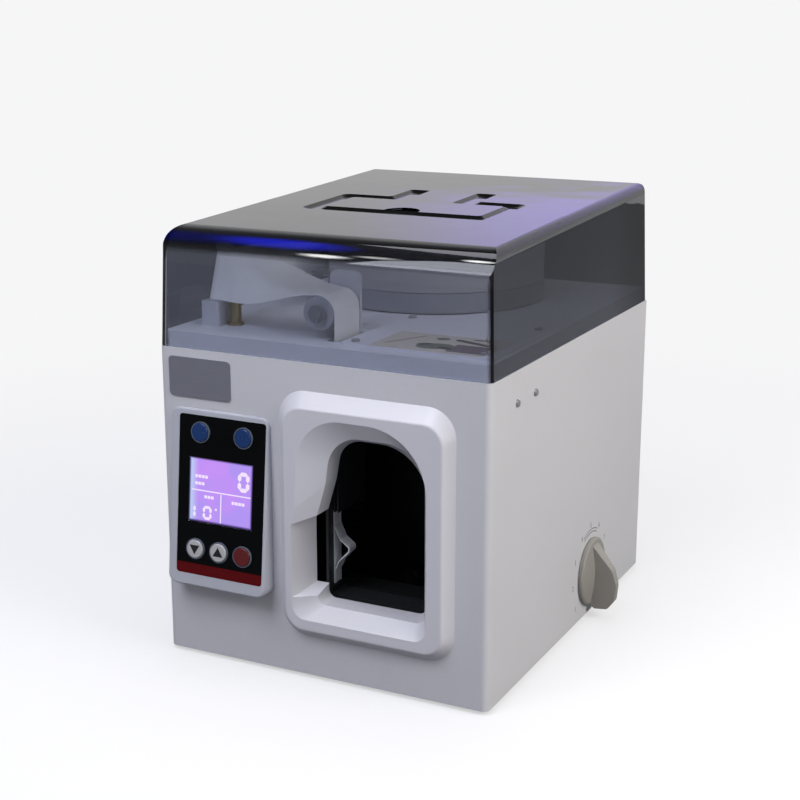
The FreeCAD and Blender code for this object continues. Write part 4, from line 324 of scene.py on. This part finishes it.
# ------------------------------------------------------------------ slot frame
# One thick ABS moulding with a fine spark-eroded texture, a shade whiter than the steel
# and softly glossy on its rounded rim and in the funnel.
frame_abs = coated("spark_textured_abs", "#D6D5DA", 0.34, grain=0.9, relief=0.010, spread=0.015)
dress(frame_abs, "slot_frame")

# ------------------------------------------------------------------ badge plate
# A 1 mm aluminium plate, brushed along its length and anodised, with nothing on it. The
# brush lines are drawn 0.5 mm apart, coarser than the real ones, so that they show.
brushed_aluminium = coated(
    "brushed_anodised_aluminium",
    "#8D8E99",
    0.38,
    grain=0.5,
    relief=0.01,
    spread=0.06,
    stretch=(0.03, 1, 1),
    metallic=0.55,
)
dress(brushed_aluminium, "badge_plate")

# ------------------------------------------------------------------ control panel housing and film
# A moulded ABS bezel holds a printed polyester film: satin black ink with a dark red stripe
# along the foot. The ink's fine satin texture is about 0.4 mm.
bezel_abs = coated("moulded_abs", "#B8BAC2", 0.36, grain=0.8, relief=0.010, spread=0.015)
dress(bezel_abs, "control_bezel")

stripe_top = 77.6
film = coated(
    "screen_printed_polyester",
    "#040506",
    0.30,
    grain=0.4,
    relief=0.004,
    spread=0.10,
    gloss=0.10,
)
tree = film.node_tree
ink = next(n for n in tree.nodes if n.type == "MIX")
body = next(n for n in tree.nodes if n.type == "BSDF_PRINCIPLED")
place = next(n for n in tree.nodes if n.type == "TEX_COORD")
height = add(tree, "ShaderNodeSeparateXYZ", [(0, place.outputs["Object"])])
below = sums(tree, "LESS_THAN", height.outputs[2], stripe_top * MM)
red_ink = blend(tree, below, ink.outputs[2], linear("#5C0D10"))
tree.links.new(red_ink, body.inputs["Base Color"])
dress(film, "control_overlay")

# ------------------------------------------------------------------ keys and their collars
# Five round keys moulded in coloured ABS: blue, pale and red, in satin grey collars. Their
# signs are pad-printed, as thin raised plates of ink.
ring_grey = coated("satin_grey_abs", "#5F6A78", 0.35, grain=0.6, relief=0.006, spread=0.05)
dress(ring_grey, "key_rings")
key_blue = coated("blue_abs", "#003068", 0.28, grain=0.6, relief=0.005, spread=0.06, coat=0.2)
dress(key_blue, "open_key", "feed_key")
key_pale = coated("pale_abs", "#B9BAB8", 0.30, grain=0.6, relief=0.005, spread=0.03, coat=0.3)
dress(key_pale, "down_key", "up_key")
key_red = coated("red_abs", "#5E060A", 0.30, grain=0.6, relief=0.005, spread=0.06, coat=0.15)
dress(key_red, "stop_key")

panel_lean = 5.8
panel_top = (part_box("badge_plate")[1].y - 1.5 * MM, 191.0 * MM)
on_panel = (
    Matrix.Translation((0.0, panel_top[0], panel_top[1]))
    @ Matrix.Rotation(math.radians(90 - panel_lean), 4, "X")
    @ Matrix.Scale(MM, 4)
)


def thin_plates(name, outlines, where, low, high):
    """Flat closed plates of one piece, from outlines in mm, between two levels over a face."""
    mesh = bpy.data.meshes.new(name)
    form = bmesh.new()
    for outline in outlines:
        rings = [
            [form.verts.new(where @ Vector((x, y, z))) for x, y in outline] for z in (low, high)
        ]
        count = len(outline)
        form.faces.new(rings[0][::-1])
        form.faces.new(rings[1])
        for i in range(count):
            after = (i + 1) % count
            form.faces.new((rings[0][i], rings[0][after], rings[1][after], rings[1][i]))
    bmesh.ops.recalc_face_normals(form, faces=form.faces)
    form.to_mesh(mesh)
    form.free()
    piece = bpy.data.objects.new(name, mesh)
    bpy.context.scene.collection.objects.link(piece)
    return piece


def bar(x, y, width, height):
    """The outline of a level bar about its middle."""
    return [
        (x - width / 2, y - height / 2),
        (x + width / 2, y - height / 2),
        (x + width / 2, y + height / 2),
        (x - width / 2, y + height / 2),
    ]


key_top = 2.0
triangle_tip, triangle_half = 4.1, 4.2
dash_pitch, dash_width, dash_height = 3.2, 2.4, 1.7
key_spots = {
    "open_key": (-106.05, -16.4),
    "feed_key": (-70.05, -16.4),
    "down_key": (-107.95, -102.5),
    "up_key": (-88.05, -102.5),
    "stop_key": (-68.15, -102.5),
}
sign_ink = coated("pad_printed_ink", "#0A0B0C", 0.45, grain=0.4, relief=0.003, spread=0.1)
blue_ink = coated("dark_blue_printed_ink", "#06336B", 0.40, grain=0.4, relief=0.003, spread=0.1)
red_sign_ink = coated(
    "dark_red_printed_ink", "#5A0E10", 0.40, grain=0.4, relief=0.003, spread=0.1
)
for key_name, spot in key_spots.items():
    x, y = spot
    if key_name in ("down_key", "up_key"):
        tip = triangle_tip if key_name == "up_key" else -triangle_tip
        foot = y - tip * 0.7
        outline = [(x - triangle_half, foot), (x + triangle_half, foot), (x, y + tip)]
        outlines, ink_of_key = [outline], sign_ink
    else:
        outlines = [
            bar(x + side * dash_pitch, y, dash_width, dash_height) for side in (-1, 0, 1)
        ]
        ink_of_key = red_sign_ink if key_name == "stop_key" else blue_ink
    sign = thin_plates(f"{key_name}_sign", outlines, on_panel, key_top - 0.02, key_top + 0.05)
    sign.data.materials.append(ink_of_key)
    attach(sign, key_name)

# ------------------------------------------------------------------ display
# A backlit liquid crystal module behind a window in the film. The light comes from the left
# edge, so the lilac field is bluer and brighter there. The figures are clear white segments.
lcd_low = (-115.75, -82.7)
lcd_size = (54.0, 47.7)
glass_front = -0.9
lit_middle_up = 132.6
lit_half_width, lit_half_height = 26.5, 23.3
blue_edge, dim_rim, cloud_size = 9.0, 1.8, 22.0


def on_display(u, v):
    """A place on the display, from shares counted from the top left corner."""
    return lcd_low[0] + u * lcd_size[0], lcd_low[1] + (1 - v) * lcd_size[1]


display_frame_black = coated("moulded_black_frame", "#101214", 0.4, grain=0.5, relief=0.005)
dress(display_frame_black, "lcd_module")
picture = thin_plates(
    "display_picture",
    [[on_display(u, v) for u, v in ((0.01, 0.99), (0.99, 0.99), (0.99, 0.01), (0.01, 0.01))]],
    on_panel,
    glass_front - 0.02,
    glass_front + 0.08,
)
backlight = material("backlit_liquid_crystal")
tree = backlight.node_tree
place = add(tree, "ShaderNodeTexCoord")
sides = add(tree, "ShaderNodeSeparateXYZ", [(0, place.outputs["Object"])])
from_left = fade(tree, sides.outputs[0], lcd_low[0] * MM, (lcd_low[0] + blue_edge) * MM)
near_edge = []
for axis, middle, half in (
    (0, lcd_low[0] + lcd_size[0] / 2, lit_half_width),
    (2, lit_middle_up, lit_half_height),
):
    away = sums(tree, "ABSOLUTE", sums(tree, "SUBTRACT", sides.outputs[axis], middle * MM))
    near_edge.append(sums(tree, "SUBTRACT", half * MM, away))
inside = fade(tree, sums(tree, "MINIMUM", *near_edge), 0.0, dim_rim * MM)
cloud = add(
    tree,
    "ShaderNodeTexNoise",
    [("Vector", place.outputs["Object"]), ("Scale", 1 / (cloud_size * MM)), ("Detail", 1.0)],
)
cloud_share = fade(tree, cloud.outputs[0], 0.35, 0.65)
lilac = blend(tree, cloud_share, linear("#B89AFC"), linear("#CC96FF"))
glow = blend(tree, from_left, linear("#C4DCFF"), lilac)
rimmed = blend(tree, inside, linear("#4A3580"), glow)
screen = add(
    tree,
    "ShaderNodeBsdfPrincipled",
    [
        ("Base Color", linear("#1A1426")),
        ("Roughness", 0.25),
        ("Emission Color", rimmed),
        ("Emission Strength", 0.9),
    ],
)
add(tree, "ShaderNodeOutputMaterial", [("Surface", screen.outputs[0])])
picture.data.materials.append(backlight)
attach(picture, "casing")

SEGMENTS = {"0": "abcdef", "1": "bc"}


def segment_outlines(figure, centre, width, tall, thick):
    """The lit segments of one figure, as six-sided bars, in mm."""
    x, y = centre
    half, rise, tip = width / 2, tall / 2, thick / 2
    gap = thick * 0.04
    level = {"a": rise, "d": -rise}
    upright = {"b": (half, 1), "c": (half, -1), "e": (-half, -1), "f": (-half, 1)}
    found = []
    for name in SEGMENTS[figure]:
        if name in level:
            reach, at = half - gap, y + level[name]
            found.append(
                [
                    (x - reach, at),
                    (x - reach + tip, at - tip),
                    (x + reach - tip, at - tip),
                    (x + reach, at),
                    (x + reach - tip, at + tip),
                    (x - reach + tip, at + tip),
                ]
            )
        else:
            side, end = upright[name]
            low, high = sorted((y + end * gap, y + end * (rise - gap)))
            found.append(
                [
                    (x + side, low),
                    (x + side + tip, low + tip),
                    (x + side + tip, high - tip),
                    (x + side, high),
                    (x + side - tip, high - tip),
                    (x + side - tip, low + tip),
                ]
            )
    return found


figures = segment_outlines("0", on_display(0.855, 0.285), 6.8, 11.6, 3.0)
figures += segment_outlines("1", on_display(0.045, 0.84), 5.6, 8.2, 2.1)
figures += segment_outlines("0", on_display(0.30, 0.84), 5.6, 8.2, 2.1)
figures += [bar(*on_display(0.435, 0.77), 1.6, 1.6)]
divider = 0.9
caption_pitch, caption_width, caption_height = 0.052, 2.3, 2.2
figures += [bar(*on_display(0.51, 0.505), lcd_size[0] * 0.92, divider)]
figures += [bar(*on_display(0.51, 0.745), divider, lcd_size[1] * 0.44)]
captions = [(0.12, 0.29, 4), (0.12, 0.40, 3), (0.27, 0.595, 3), (0.70, 0.625, 4)]
for u, v, count in captions:
    for i in range(count):
        place_of_bar = on_display(u + caption_pitch * i, v)
        figures.append(bar(*place_of_bar, caption_width, caption_height))
display_figures = thin_plates(
    "display_figures", figures, on_panel, glass_front + 0.03, glass_front + 0.13
)
lit_segment = material("lit_liquid_crystal_segment")
tree = lit_segment.node_tree
lit = add(
    tree,
    "ShaderNodeBsdfPrincipled",
    [
        ("Base Color", linear("#2A2830")),
        ("Roughness", 0.3),
        ("Emission Color", linear("#F4E6FF")),
        ("Emission Strength", 0.95),
    ],
)
add(tree, "ShaderNodeOutputMaterial", [("Surface", lit.outputs[0])])
display_figures.data.materials.append(lit_segment)
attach(display_figures, "casing")

# ------------------------------------------------------------------ deck and its cover plate
# The steel deck under the lid, powder coated a shade paler than the casing, with a bolted
# plate at the right over the mechanism.
deck_coat = coated("powder_coated_deck", "#E0E1E6", 0.45, grain=1.5, relief=0.012, spread=0.03)
dress(deck_coat, "deck_tray", "deck_cover_plate")

label_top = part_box("deck_cover_plate")[1].z / MM
on_deck = Matrix.Translation((0.0, 0.0, label_top * MM)) @ Matrix.Scale(MM, 4)
label_middle = (62.0, -117.0)


def rounded_plate(width, depth, radius, steps=6):
    """The outline of a sheet with round corners, about its middle."""
    outline = []
    for side_x, side_y, start in ((1, 1, 0), (-1, 1, 90), (-1, -1, 180), (1, -1, 270)):
        for i in range(steps + 1):
            turn = math.radians(start + 90 * i / steps)
            outline.append(
                (
                    side_x * (width / 2 - radius) + radius * math.cos(turn),
                    side_y * (depth / 2 - radius) + radius * math.sin(turn),
                )
            )
    return outline


def moved(outline, x, y, turn=0.0):
    """An outline turned about its own middle and set down on the label."""
    cos, sin = math.cos(math.radians(turn)), math.sin(math.radians(turn))
    return [
        (label_middle[0] + x + px * cos - py * sin, label_middle[1] + y + px * sin + py * cos)
        for px, py in outline
    ]


def oval(width, depth, count=28):
    """The outline of an oval about its middle."""
    turns = [2 * math.pi * i / count for i in range(count)]
    return [(width / 2 * math.cos(t), depth / 2 * math.sin(t)) for t in turns]


# A printed paper label under a clear film: a cream ground with plain bands, discs and a
# block in muted olive, umber, plum and rose.
label_prints = {
    "label_ground": ("#D4CEC0", [moved(rounded_plate(84.0, 52.0, 2.0), 0, 0)], 0.00),
    "label_rose_band": ("#A9857F", [moved(bar(0, 0, 36.0, 2.2), -27.0, 2.0, 62)], 0.08),
    "label_plum_block": ("#6C5F66", [moved(rounded_plate(27.0, 22.0, 1.0), 26.0, -9.0)], 0.08),
    "label_olive_discs": (
        "#6F7263",
        [moved(oval(26.0, 17.0), 0.0, -9.0, 20), moved(oval(10.0, 8.0), -4.0, 14.0)],
        0.08,
    ),
    "label_umber_marks": (
        "#3A3833",
        [
            moved(oval(11.0, 6.0), -9.0, -6.0, 35),
            moved(oval(12.0, 6.0), 9.0, -12.0, -15),
            moved(rounded_plate(32.0, 5.0, 2.4), 21.0, 10.0, -18),
            moved(rounded_plate(15.0, 2.4, 1.0), 24.0, 20.0),
        ],
        0.14,
    ),
}
for label_name, (code, outlines, rise) in label_prints.items():
    thick = 0.14 if label_name == "label_ground" else 0.10
    print_ink = coated(
        f"{label_name}_offset_print", code, 0.42, grain=0.6, relief=0.004, spread=0.06, coat=0.2
    )
    label = thin_plates(label_name, outlines, on_deck, rise, rise + thick)
    label.data.materials.append(print_ink)
    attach(label, "casing")

# ------------------------------------------------------------------ lid
# Vacuum-formed 3 mm acrylic, tinted smoke grey and polished. It mirrors the room at a low
# angle, darkens what is seen through one wall, and more through two. Lamps reach through it.
# Painted shade darkens its see-through tint on the side walls, towards the rear, and most
# over the top and its rounded bends.
smoked_acrylic = material("smoke_tinted_acrylic")
tree = smoked_acrylic.node_tree
place = add(tree, "ShaderNodeTexCoord")
ripple = add(
    tree,
    "ShaderNodeTexNoise",
    [("Vector", place.outputs["Object"]), ("Scale", 1 / (60 * MM)), ("Detail", 1.0)],
)
ripple_bump = add(
    tree,
    "ShaderNodeBump",
    [("Height", ripple.outputs[0]), ("Distance", 0.25 * MM), ("Strength", 1.0)],
)
depth = add(tree, "ShaderNodeSeparateXYZ", [(0, place.outputs["Object"])])
facing = add(tree, "ShaderNodeNewGeometry")
upright = add(tree, "ShaderNodeSeparateXYZ", [(0, facing.outputs["True Normal"])])
# painted shade: the side walls and the rear of the lid get a darker see-through tint than its
# front
side_wall_painted_shade = fade(tree, sums(tree, "ABSOLUTE", upright.outputs[0]), 0.3, 0.8, 0.0, 0.75)
painted_shade_share = sums(tree, "MAXIMUM", side_wall_painted_shade, fade(tree, depth.outputs[1], -0.17, 0.20))
smoke_with_painted_shade = blend(tree, painted_shade_share, linear("#A3A7B3"), linear("#24272E"))
# painted shade: the top and its rounded bends get a near-black see-through tint, standing in for
# the dark band seen on them
thick = fade(tree, sums(tree, "ABSOLUTE", upright.outputs[2]), 0.28, 0.52)
tint = blend(tree, thick, smoke_with_painted_shade, linear("#2E3036"))
smoke = add(
    tree,
    "ShaderNodeBsdfPrincipled",
    [
        ("Base Color", tint),
        ("Roughness", 0.02),
        ("IOR", 1.49),
        ("Transmission Weight", 1.0),
        ("Normal", ripple_bump.outputs[0]),
    ],
)
lamp_through = add(tree, "ShaderNodeBsdfTransparent", [("Color", linear("#F6F6F8"))])
shadow_ray = add(tree, "ShaderNodeLightPath").outputs["Is Shadow Ray"]
acrylic = shader_mix(tree, shadow_ray, smoke, lamp_through)
add(tree, "ShaderNodeOutputMaterial", [("Surface", acrylic.outputs[0])])
dress(smoked_acrylic, "lid")

bright_steel = coated(
    "ground_bright_steel", "#B4B4B6", 0.24, grain=0.5, relief=0.004, spread=0.06, metallic=1.0
)
dress(bright_steel, "hinge_pins", "reel_spindle", "tie_rods")

# ------------------------------------------------------------------ tape reel
# A mid grey ABS turntable with a deep skirt, a wound board core and a roll of paper tape,
# whose ends show its layers as fine rings, drawn 0.8 mm apart. The roll's paper is the tape's
# white paper, painted mid grey as painted shade. The white nylon post, its pale base and the
# grey roller guide the tape from here.
reel_abs = coated("grey_abs", "#96979D", 0.42, grain=0.9, relief=0.01, spread=0.03)
dress(reel_abs, "reel_base")
pale_abs = coated("light_grey_abs", "#C6C7CC", 0.42, grain=0.9, relief=0.01, spread=0.03)
dress(pale_abs, "roller_bracket", "post_base")
roller_abs = coated("mid_grey_abs", "#A6A8AE", 0.42, grain=0.9, relief=0.01, spread=0.03)
dress(roller_abs, "guide_roller")
post_nylon = coated("white_nylon", "#E4E4E2", 0.38, grain=0.7, relief=0.006, spread=0.03)
dress(post_nylon, "leaning_guide_post")
black_abs = coated("black_abs", "#17181A", 0.38, grain=0.8, relief=0.01, spread=0.08)
dress(black_abs, "reel_cap", "power_inlet", "switch_frame", "power_rocker")
core_board = coated("spiral_wound_board", "#8C7556", 0.80, grain=1.2, relief=0.02, spread=0.12)
dress(core_board, "reel_core")
tape_paper = coated(
    "coated_strapping_paper", "#F4F4F2", 0.55, grain=0.7, relief=0.006, spread=0.03
)
dress(tape_paper, "paper_tape")

# painted shade: the roll is the tape's own white paper, painted mid grey
roll_paper_painted_shade = coated(
    "wound_paper_painted_shade", "#A8A8AA", 0.60, grain=0.6, relief=0.006, spread=0.03
)
reel_low, reel_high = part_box("tape_roll")
reel_axis = [(reel_low[i] + reel_high[i]) / 2 for i in (0, 1)]
tree = roll_paper_painted_shade.node_tree
place = next(n for n in tree.nodes if n.type == "TEX_COORD")
bump = next(n for n in tree.nodes if n.type == "BUMP")
centred = add(
    tree,
    "ShaderNodeMapping",
    [("Vector", place.outputs["Object"]), ("Location", (-reel_axis[0], -reel_axis[1], 0.0))],
)
layer_pitch = 0.8 * MM
ring_period = 0.314
layers = add(
    tree,
    "ShaderNodeTexWave",
    [
        ("Vector", centred.outputs[0]),
        ("Scale", ring_period / layer_pitch),
        ("Distortion", 0.6),
        ("Detail", 1.0),
    ],
    wave_type="RINGS",
    rings_direction="Z",
)
layer_bump = add(
    tree,
    "ShaderNodeBump",
    [
        ("Height", layers.outputs[0]),
        ("Distance", 0.06 * MM),
        ("Strength", 0.8),
        ("Normal", bump.outputs[0]),
    ],
)
body = next(n for n in tree.nodes if n.type == "BSDF_PRINCIPLED")
tree.links.new(layer_bump.outputs[0], body.inputs["Normal"])
dress(roll_paper_painted_shade, "tape_roll")

# ------------------------------------------------------------------ tape guides on the deck
# A turned brass pin beside the leaning post, with fine marks along its length, and the
# roller's axle in moulded dark grey ABS. The heater bar below is brass too.
brass = coated(
    "turned_brass",
    "#A4936C",
    0.30,
    grain=0.5,
    relief=0.006,
    spread=0.08,
    stretch=(1, 1, 4),
    metallic=1.0,
)
dress(brass, "brass_guide_pin", "heater_bar")
dark_abs = coated("dark_grey_abs", "#808186", 0.38, grain=0.8, relief=0.01, spread=0.05)
dress(dark_abs, "guide_roller_axle")

# ------------------------------------------------------------------ strapping mechanism
# Steel plates in black oxide, and the nylon track in two halves, nearly black. The guides
# are black passivated zinc, the leaf spring satin steel, and bars, cams and shafts are
# ground bright.
black_oxide = coated(
    "black_oxide_steel", "#1B1C1E", 0.40, grain=1.0, relief=0.01, spread=0.15, metallic=0.6
)
dress(black_oxide, "mech_plate_front", "mech_plate_rear", "press_block", "note_stop")
front_nylon = coated("grey_nylon", "#1E2022", 0.45, grain=0.8, relief=0.01, spread=0.06)
dress(front_nylon, "track_front_half")
rear_nylon = coated("black_nylon", "#121314", 0.45, grain=0.8, relief=0.01, spread=0.06)
dress(rear_nylon, "track_rear_half")
guide_zinc = coated(
    "black_passivated_zinc", "#232426", 0.42, grain=0.6, relief=0.006, spread=0.06, metallic=0.2
)
dress(guide_zinc, "tape_guides")
spring_steel = coated(
    "satin_spring_steel", "#D8DADC", 0.45, grain=0.5, relief=0.004, spread=0.05, metallic=0.30
)
dress(spring_steel, "note_spring")
dress(bright_steel, "clamp_bar", "cutter_bar", "press_cams", "camshaft")
roller_rubber = coated(
    "ground_rubber_sleeve", "#38393B", 0.75, grain=0.5, relief=0.01, spread=0.1
)
dress(roller_rubber, "feed_roller", "pinch_roller")
motor_steel = coated(
    "drawn_steel_can", "#75777B", 0.35, grain=1.0, relief=0.006, spread=0.06, metallic=1.0
)
dress(motor_steel, "feed_motor", "press_motor")

# ------------------------------------------------------------------ electronics
# Green solder-masked boards, and a laminated transformer dipped in dark varnish.
solder_mask = coated("green_solder_mask", "#16502C", 0.35, grain=1.2, relief=0.01, spread=0.18)
dress(solder_mask, "main_board", "display_board")
varnished_iron = coated(
    "varnished_iron_laminations",
    "#2E2B2A",
    0.5,
    grain=0.8,
    relief=0.03,
    spread=0.15,
    stretch=(1, 0.1, 0.1),
)
dress(varnished_iron, "transformer")

# ------------------------------------------------------------------ heat dial
# A moulded knob in warm grey plastic: a shallow skirt with a tall pointer grip. The scale is
# screen-printed on the casing round it, with plain figures and a double arc over the top.
knob_plastic = coated(
    "warm_grey_knob_plastic", "#93908A", 0.42, grain=0.8, relief=0.01, spread=0.03
)
dress(knob_plastic, "dial_knob")

dial_centre = (43.369, 37.5)
wall_x = 118.25
on_wall = Matrix(
    (
        (0, 0, MM, wall_x * MM),
        (MM, 0, 0, dial_centre[0] * MM),
        (0, MM, 0, dial_centre[1] * MM),
        (0, 0, 0, 1),
    )
)
print_low, print_high = -0.02, 0.05
scale_ink = coated("grey_screen_print", "#6E706E", 0.5, grain=0.5, relief=0.003, spread=0.06)
figure_radius = 37.5
figure_height = 4.6
figure_count, first_turn, turn_step = 9, -126, 31.5
for index in range(figure_count):
    turn = math.radians(first_turn + index * turn_step)
    curve = bpy.data.curves.new(f"dial_figure_{index}", "FONT")
    curve.body = str(index + 1)
    curve.size = figure_height * 1.35
    curve.align_x = "CENTER"
    curve.align_y = "CENTER"
    curve.extrude = (print_high - print_low) / 2
    curve.resolution_u = 3
    text = bpy.data.objects.new(curve.name, curve)
    bpy.context.scene.collection.objects.link(text)
    bpy.context.view_layer.update()
    mesh = bpy.data.meshes.new_from_object(text)
    bpy.data.objects.remove(text)
    mesh.name = f"dial_figure_{index}_print"
    across, up = figure_radius * math.sin(turn), figure_radius * math.cos(turn)
    mesh.transform(on_wall @ Matrix.Translation((across, up, print_high / 2)))
    mesh.materials.clear()
    mesh.materials.append(scale_ink)
    piece = bpy.data.objects.new(f"dial_figure_{index}", mesh)
    bpy.context.scene.collection.objects.link(piece)
    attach(piece, "casing")


def arc_band(radius, width, start, end, steps=24):
    """The outline of a curved band, in degrees from straight up."""
    turns = [math.radians(start + (end - start) * i / steps) for i in range(steps + 1)]
    far, near = radius + width / 2, radius - width / 2
    outer = [(math.sin(t) * far, math.cos(t) * far) for t in turns]
    inner = [(math.sin(t) * near, math.cos(t) * near) for t in turns]
    return outer + inner[::-1]


scale_arcs = [arc_band(31.5, 0.8, -26, 26), arc_band(34.0, 0.8, -26, 26)]
arcs = thin_plates("dial_scale_arcs", scale_arcs, on_wall, print_low, print_high)
arcs.data.materials.append(scale_ink)
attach(arcs, "casing")
